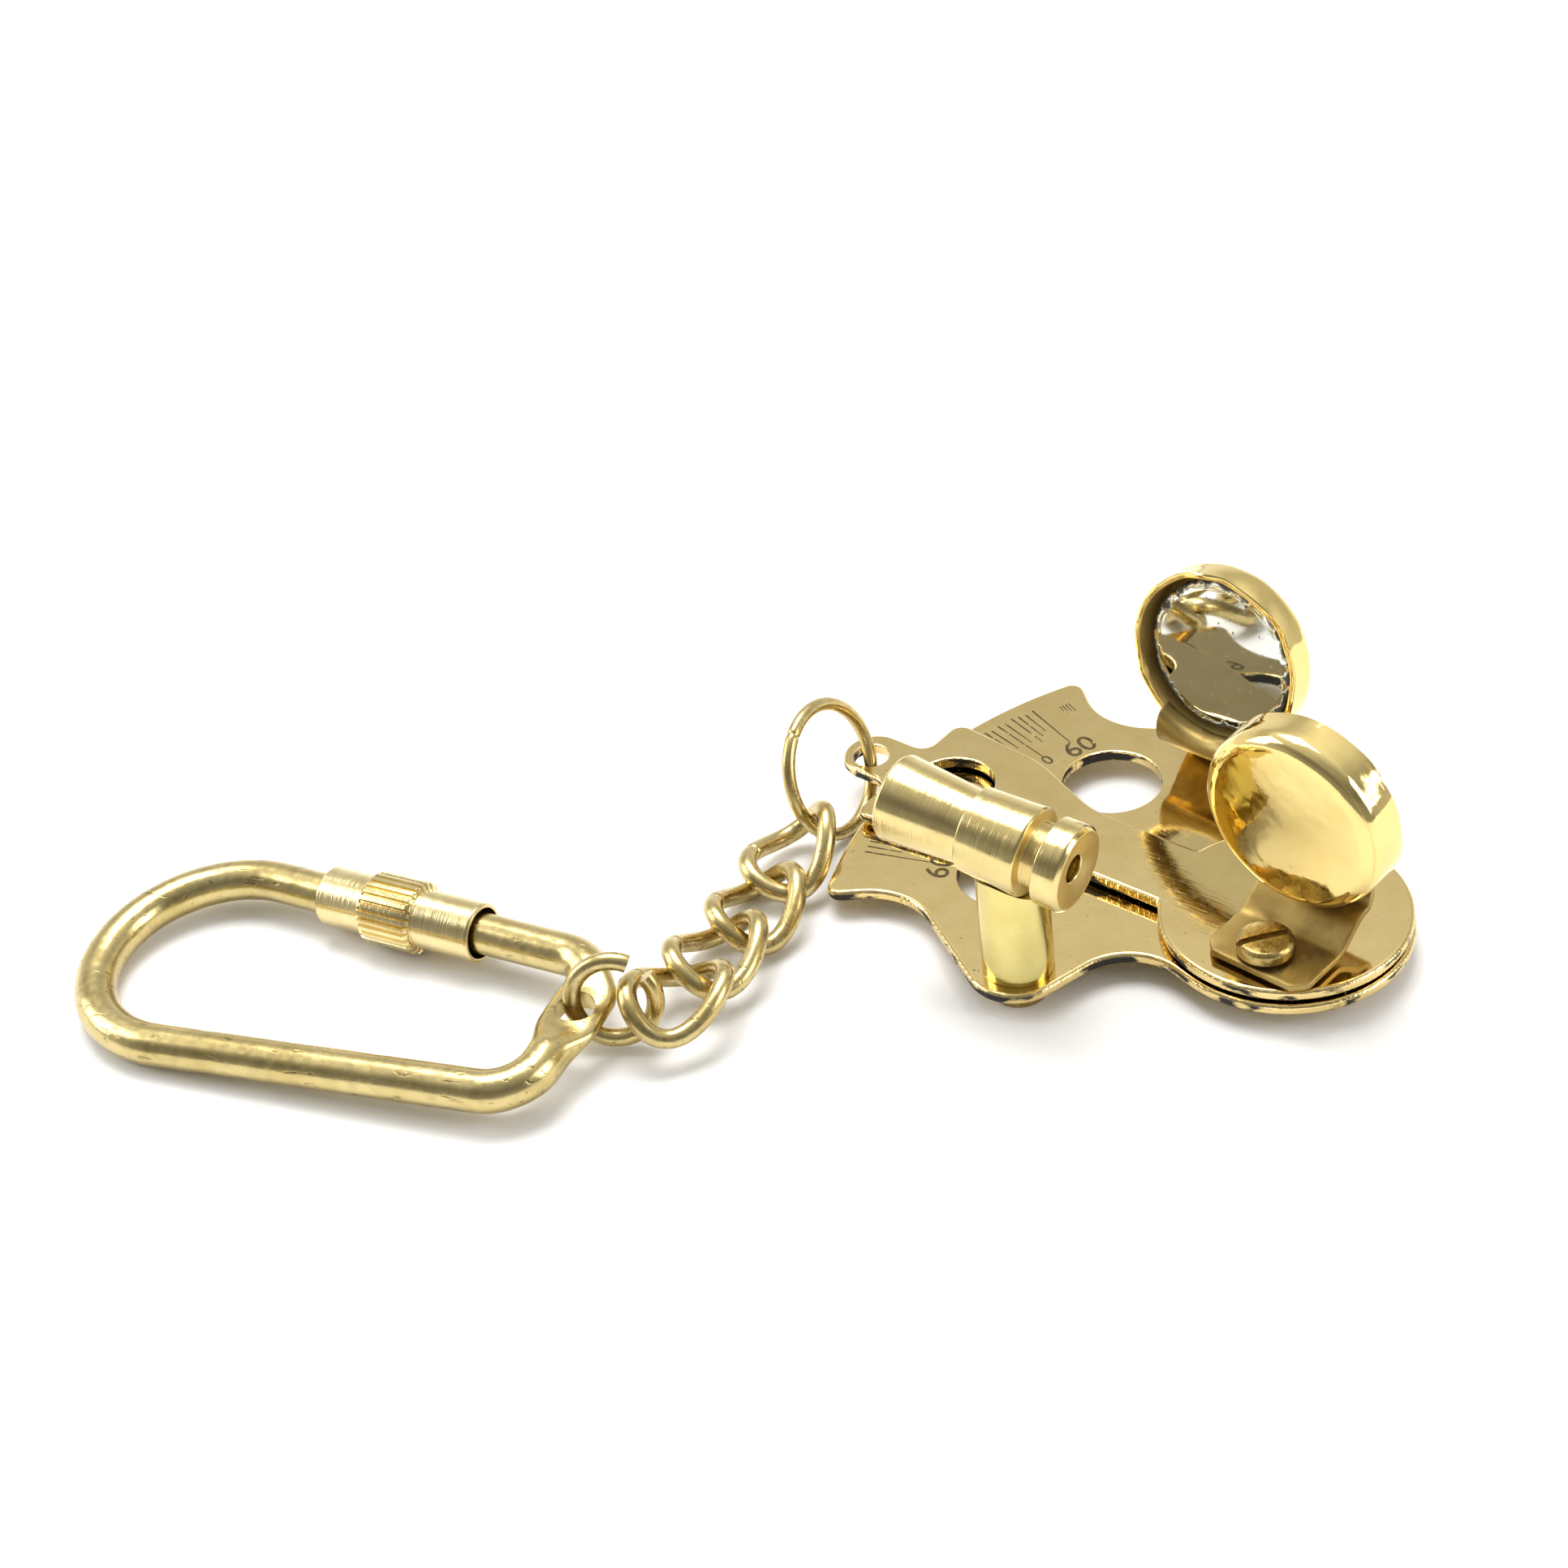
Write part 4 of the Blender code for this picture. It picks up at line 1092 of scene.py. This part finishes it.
def ring(node, radius, thickness, place, start, sweep, mat):
    """A bent wire ring. Under a full sweep its two cut ends stand apart."""
    matrix = placement(*place)
    closed = sweep >= 360.0
    count = 220
    points = []
    for i in range(count):
        angle = math.radians(start + sweep * i / count)
        points.append(matrix @ Vector((radius * math.cos(angle), radius * math.sin(angle), 0.0)))
    radii = seamed(count, thickness, count // 3, 7.0) if closed else [thickness] * count
    obj = wire(node + "_wire", points, radii, closed)
    return stands_for(shaded(obj, 60.0), node, mat)


# -------- key loop

def loop_matrix():
    lean = Matrix.Rotation(-LOOP_PITCH, 4, "Y") @ Matrix.Rotation(LOOP_TILT, 4, "X")
    return Matrix.Translation(LOOP_ORIGIN) @ Matrix.Rotation(LOOP_TURN, 4, "Z") @ lean


def far_side():
    """Start point and direction, in the loop's plan, of its far straight side."""
    heading = tangent_angle((*LOOP_LEFT, -1), (*LOOP_FAR, -1))
    (cx, cy), radius = LOOP_LEFT
    start = Vector((cx - radius * math.sin(heading), cy + radius * math.cos(heading)))
    return start, Vector((math.cos(heading), math.sin(heading)))


def pad_shape(mesh, path):
    """Squeezes the rod flat and wide around the pad, and adds the small dents of wear."""
    centre = Vector(PAD_CENTRE)
    full = 2.0 * MM
    fade = 3.0 * MM
    for vertex in mesh.vertices:
        flat = vertex.co.xy
        reach = (flat - centre).length
        weight = smooth(max(0.0, min(1.0, 1.0 - (reach - full) / fade)))
        if weight > 0.0:
            spine = min(path, key=lambda p: (p - flat).length)
            wide = spine + (flat - spine) * (1.0 + weight * (PAD_WIDTH / (2.0 * ROD_RADIUS) - 1.0))
            squeeze = 1.0 - weight * (1.0 - PAD_THICKNESS / (2.0 * ROD_RADIUS))
            vertex.co = (wide.x, wide.y, vertex.co.z * squeeze)
        dent = noise.noise(vertex.co / (2.2 * MM))
        ripple = noise.noise(vertex.co / (0.7 * MM) + Vector((5.0, 0.0, 0.0)))
        wear = 0.035 * max(0.0, dent) + 0.008 * ripple
        vertex.co -= vertex.normal * wear * MM * (1.0 - weight)


def key_loop(mat):
    """A bent rod with a gap inside the sleeve, and a flattened, drilled pad at its corner."""
    start, along = far_side()
    left_end = start + along * (SLEEVE_START + ROD_INSIDE_SLEEVE)
    right_end = left_end + along * ROD_GAP
    circles = [
        (tuple(right_end), 0.0, -1),
        (*LOOP_FAR, -1),
        (*LOOP_NEAR, -1),
        (*LOOP_LEFT, -1),
        (tuple(left_end), 0.0, -1),
    ]
    outline = tangent_outline(circles, closed=False)
    path = resampled(outline, 0.3 * MM)
    points = [Vector((p.x, p.y, 0.0)) for p in path]
    obj = wire("key_loop_rod", points, [ROD_RADIUS] * len(points), False, 18)
    pad_shape(obj.data, path)
    obj.matrix_world = loop_matrix()
    place = loop_matrix() @ Matrix.Translation((*PAD_CENTRE, 0.0))
    cut(obj, rod("pad_drill", PAD_HOLE_RADIUS, -4.0 * MM, 4.0 * MM, place))
    return stands_for(shaded(obj, 40.0), "key_loop", mat)


def lock_sleeve(mat):
    """A turned sleeve about Z with a straight-knurled band and a step in its bore."""
    left, band, right = SLEEVE_ENDS
    length = left + band + right
    left_radius, band_radius, right_radius = SLEEVE_RADII
    left_bore, right_bore = SLEEVE_BORES
    chamfer = 0.3 * MM
    lip = 0.12 * MM
    lip_length = 0.2 * MM
    profile = [
        (right_radius - lip, length),
        (right_radius, length - lip_length),
        (right_radius, left + band),
        (band_radius - chamfer, left + band),
        (band_radius, left + band - chamfer),
        (band_radius, left + chamfer),
        (band_radius - chamfer, left),
        (left_radius, left),
        (left_radius, lip_length),
        (left_radius - lip, 0.0),
        (left_bore, 0.0),
        (left_bore, left),
        (right_bore, left + 0.4 * MM),
        (right_bore, length),
    ]
    pitch = 2.0 * math.pi / KNURL_TEETH

    def knurled(radius, height, angle):
        if radius < left_radius + 0.02 * MM:
            return radius, height
        phase = abs((angle / pitch) % 1.0 - 0.5) * 2.0
        groove = max(0.0, min(1.0, (phase - 0.5) / 0.3))
        return radius - KNURL_DEPTH * groove, height

    start, along = far_side()
    begin = start + along * SLEEVE_START
    heading = math.atan2(along.y, along.x)
    lay = placed(begin.x, begin.y, 0.0, heading) @ Matrix.Rotation(math.pi / 2.0, 4, "Y")
    fine = rounded(profile, 0.08 * MM, True)
    obj = lathe("sleeve_turned", fine, 16 * KNURL_TEETH, loop_matrix() @ lay, True, knurled)
    return stands_for(shaded(obj, 30.0), "lock_sleeve", mat)


# -------- stage

def floor():
    """A plain matt white floor under the object."""
    half = 3.0
    corners = [(-half, -half, 0.0), (half, -half, 0.0), (half, half, 0.0), (-half, half, 0.0)]
    mesh = bpy.data.meshes.new("floor")
    mesh.from_pydata(corners, [], [(0, 1, 2, 3)])
    obj = add_object("floor", mesh)
    mat = bpy.data.materials.new("floor_white")
    mat.use_nodes = True
    shader_input(mat, "Roughness").default_value = 0.9
    shader_input(mat, "Specular IOR Level").default_value = 0.1
    tone = speckle(mat, 0.02)
    feed(mat, "Base Color", blend_colour(mat, tone, (0.93, 0.93, 0.925), (0.90, 0.90, 0.895)))
    mesh.materials.append(mat)


def softbox(name, spot, aim, size, watts):
    """A rectangular area light at spot that faces aim."""
    light = bpy.data.lights.new(name, "AREA")
    light.shape = "RECTANGLE"
    light.size = size[0]
    light.size_y = size[1]
    light.energy = watts
    obj = add_object(name, light)
    obj.location = spot
    obj.rotation_euler = (Vector(aim) - Vector(spot)).to_track_quat("-Z", "Y").to_euler()


def studio_world():
    """A white tent: bright overhead, duller at middle heights, and dimmer on the near side."""
    world = bpy.data.worlds.new("tent")
    bpy.context.scene.world = world
    world.use_nodes = True
    place = add_node(world, "ShaderNodeTexCoord")
    parts = add_node(world, "ShaderNodeSeparateXYZ", {"Vector": place.outputs["Generated"]})
    up = add_node(world, "ShaderNodeValToRGB", {"Fac": parts.outputs["Z"]})
    bands = up.color_ramp
    bands.elements[0].position = 0.0
    bands.elements[0].color = (0.85, 0.85, 0.85, 1.0)
    bands.elements[1].position = 1.0
    bands.elements[1].color = (1.0, 1.0, 1.0, 1.0)
    for height, level in TENT_BANDS:
        band = bands.elements.new(height)
        band.color = (level, level * 0.99, level * 0.97, 1.0)
    background = world.node_tree.nodes["Background"]
    world.node_tree.links.new(up.outputs["Color"], background.inputs["Color"])
    directions = {0: place.outputs["Generated"], 1: FAR_SIDE}
    far = add_node(world, "ShaderNodeVectorMath", directions, operation="DOT_PRODUCT")
    strength = ramp(world, far.outputs["Value"], -0.45, 0.45, 0.42, 1.25)
    world.node_tree.links.new(strength, background.inputs["Strength"])


def camera():
    """A long lens from above the near right side, rolled a little."""
    back = (CAMERA_SPOT - CAMERA_TARGET).normalized()
    right = Vector((0.0, 0.0, 1.0)).cross(back).normalized()
    up = back.cross(right)
    turned_up = up * math.cos(CAMERA_ROLL) - right * math.sin(CAMERA_ROLL)
    turned_right = right * math.cos(CAMERA_ROLL) + up * math.sin(CAMERA_ROLL)
    data = bpy.data.cameras.new("camera")
    data.lens = CAMERA_LENS
    data.sensor_width = 36.0
    data.clip_start = 0.01
    axes = Matrix((turned_right, turned_up, back)).transposed().to_4x4()
    obj = add_object("camera", data, Matrix.Translation(CAMERA_SPOT) @ axes)
    bpy.context.scene.camera = obj


# -------- assembly

def build():
    # Bright colour, deep colour, least and most roughness, depth of grooves or dents
    scope = ((0.81, 0.66, 0.31), (0.68, 0.53, 0.22), 0.1, 0.22, 0.009 * MM)
    pillar = ((0.76, 0.66, 0.27), (0.66, 0.54, 0.19), 0.12, 0.24, 0.003 * MM)
    sleeve = ((0.83, 0.70, 0.38), (0.72, 0.58, 0.28), 0.14, 0.26, 0.011 * MM)
    thin = ((0.65, 0.525, 0.245), (0.53, 0.405, 0.16), 0.2, 0.32, 0.006 * MM)
    thick = ((0.66, 0.54, 0.25), (0.55, 0.43, 0.175), 0.18, 0.29, 0.009 * MM)
    sheet_mat = sheet_brass()
    cup_mat = drawn_brass()
    foot_mat = foot_brass()
    scope_mat = turned_brass("turned_brass", *scope)
    post_mat = turned_brass("post_brass", *pillar)
    sleeve_mat = turned_brass("sleeve_brass", *sleeve)
    wire_mat = satin_brass("wire_brass", *thin)
    rod_mat = satin_brass("rod_brass", *thick)
    screw_mat = fastener_brass()
    glass_mat = silvered_glass()

    frame_plate(sheet_mat)
    index_arm(sheet_mat)
    pivot_rivet(sheet_mat)
    scale_engraving(engraving_black())

    cup("horizon_cup", "horizon_mirror_cup", HORIZON_CUP, 0.9 * MM, 1.0, cup_mat)
    cup("index_cup", "index_mirror_cup", INDEX_CUP, 0.35 * MM, 4.0, cup_mat)
    clearance = ARM_BOTTOM - FRAME_TOP
    strip("horizon_strip", "horizon_mirror_cup", HORIZON_CUP, FRAME_TOP + clearance, foot_mat)
    strip("index_strip", "index_mirror_cup", INDEX_CUP, ARM_TOP + clearance, foot_mat)
    glass("horizon_glass", "horizon_mirror_glass", HORIZON_CUP, 2.0, glass_mat)
    glass("index_glass", "index_mirror_glass", INDEX_CUP, 5.0, glass_mat)
    slotted_screw("horizon_mirror_screw", math.radians(30.0), screw_mat)
    slotted_screw("index_mirror_screw", math.radians(52.0), screw_mat)
    hex_nut(screw_mat)

    telescope(scope_mat)
    telescope_post(post_mat)
    telescope_screw(screw_mat)

    for i, (node, centre, angles) in enumerate(LINKS):
        link(node, centre, angles, float(i), wire_mat)
    ring("jump_ring", JUMP_RING_RADIUS, JUMP_RING_WIRE, JUMP_RING, 0.0, 360.0, wire_mat)
    ring("loop_ring", LOOP_RING_RADIUS, LOOP_RING_WIRE, LOOP_RING, 68.0, 332.0, wire_mat)
    key_loop(rod_mat)
    lock_sleeve(sleeve_mat)

    floor()
    studio_world()
    for name, spot, aim, size, watts in SOFTBOXES:
        softbox(name, spot, aim, size, watts)
    camera()
    bpy.context.scene.view_settings.view_transform = "Standard"


build()
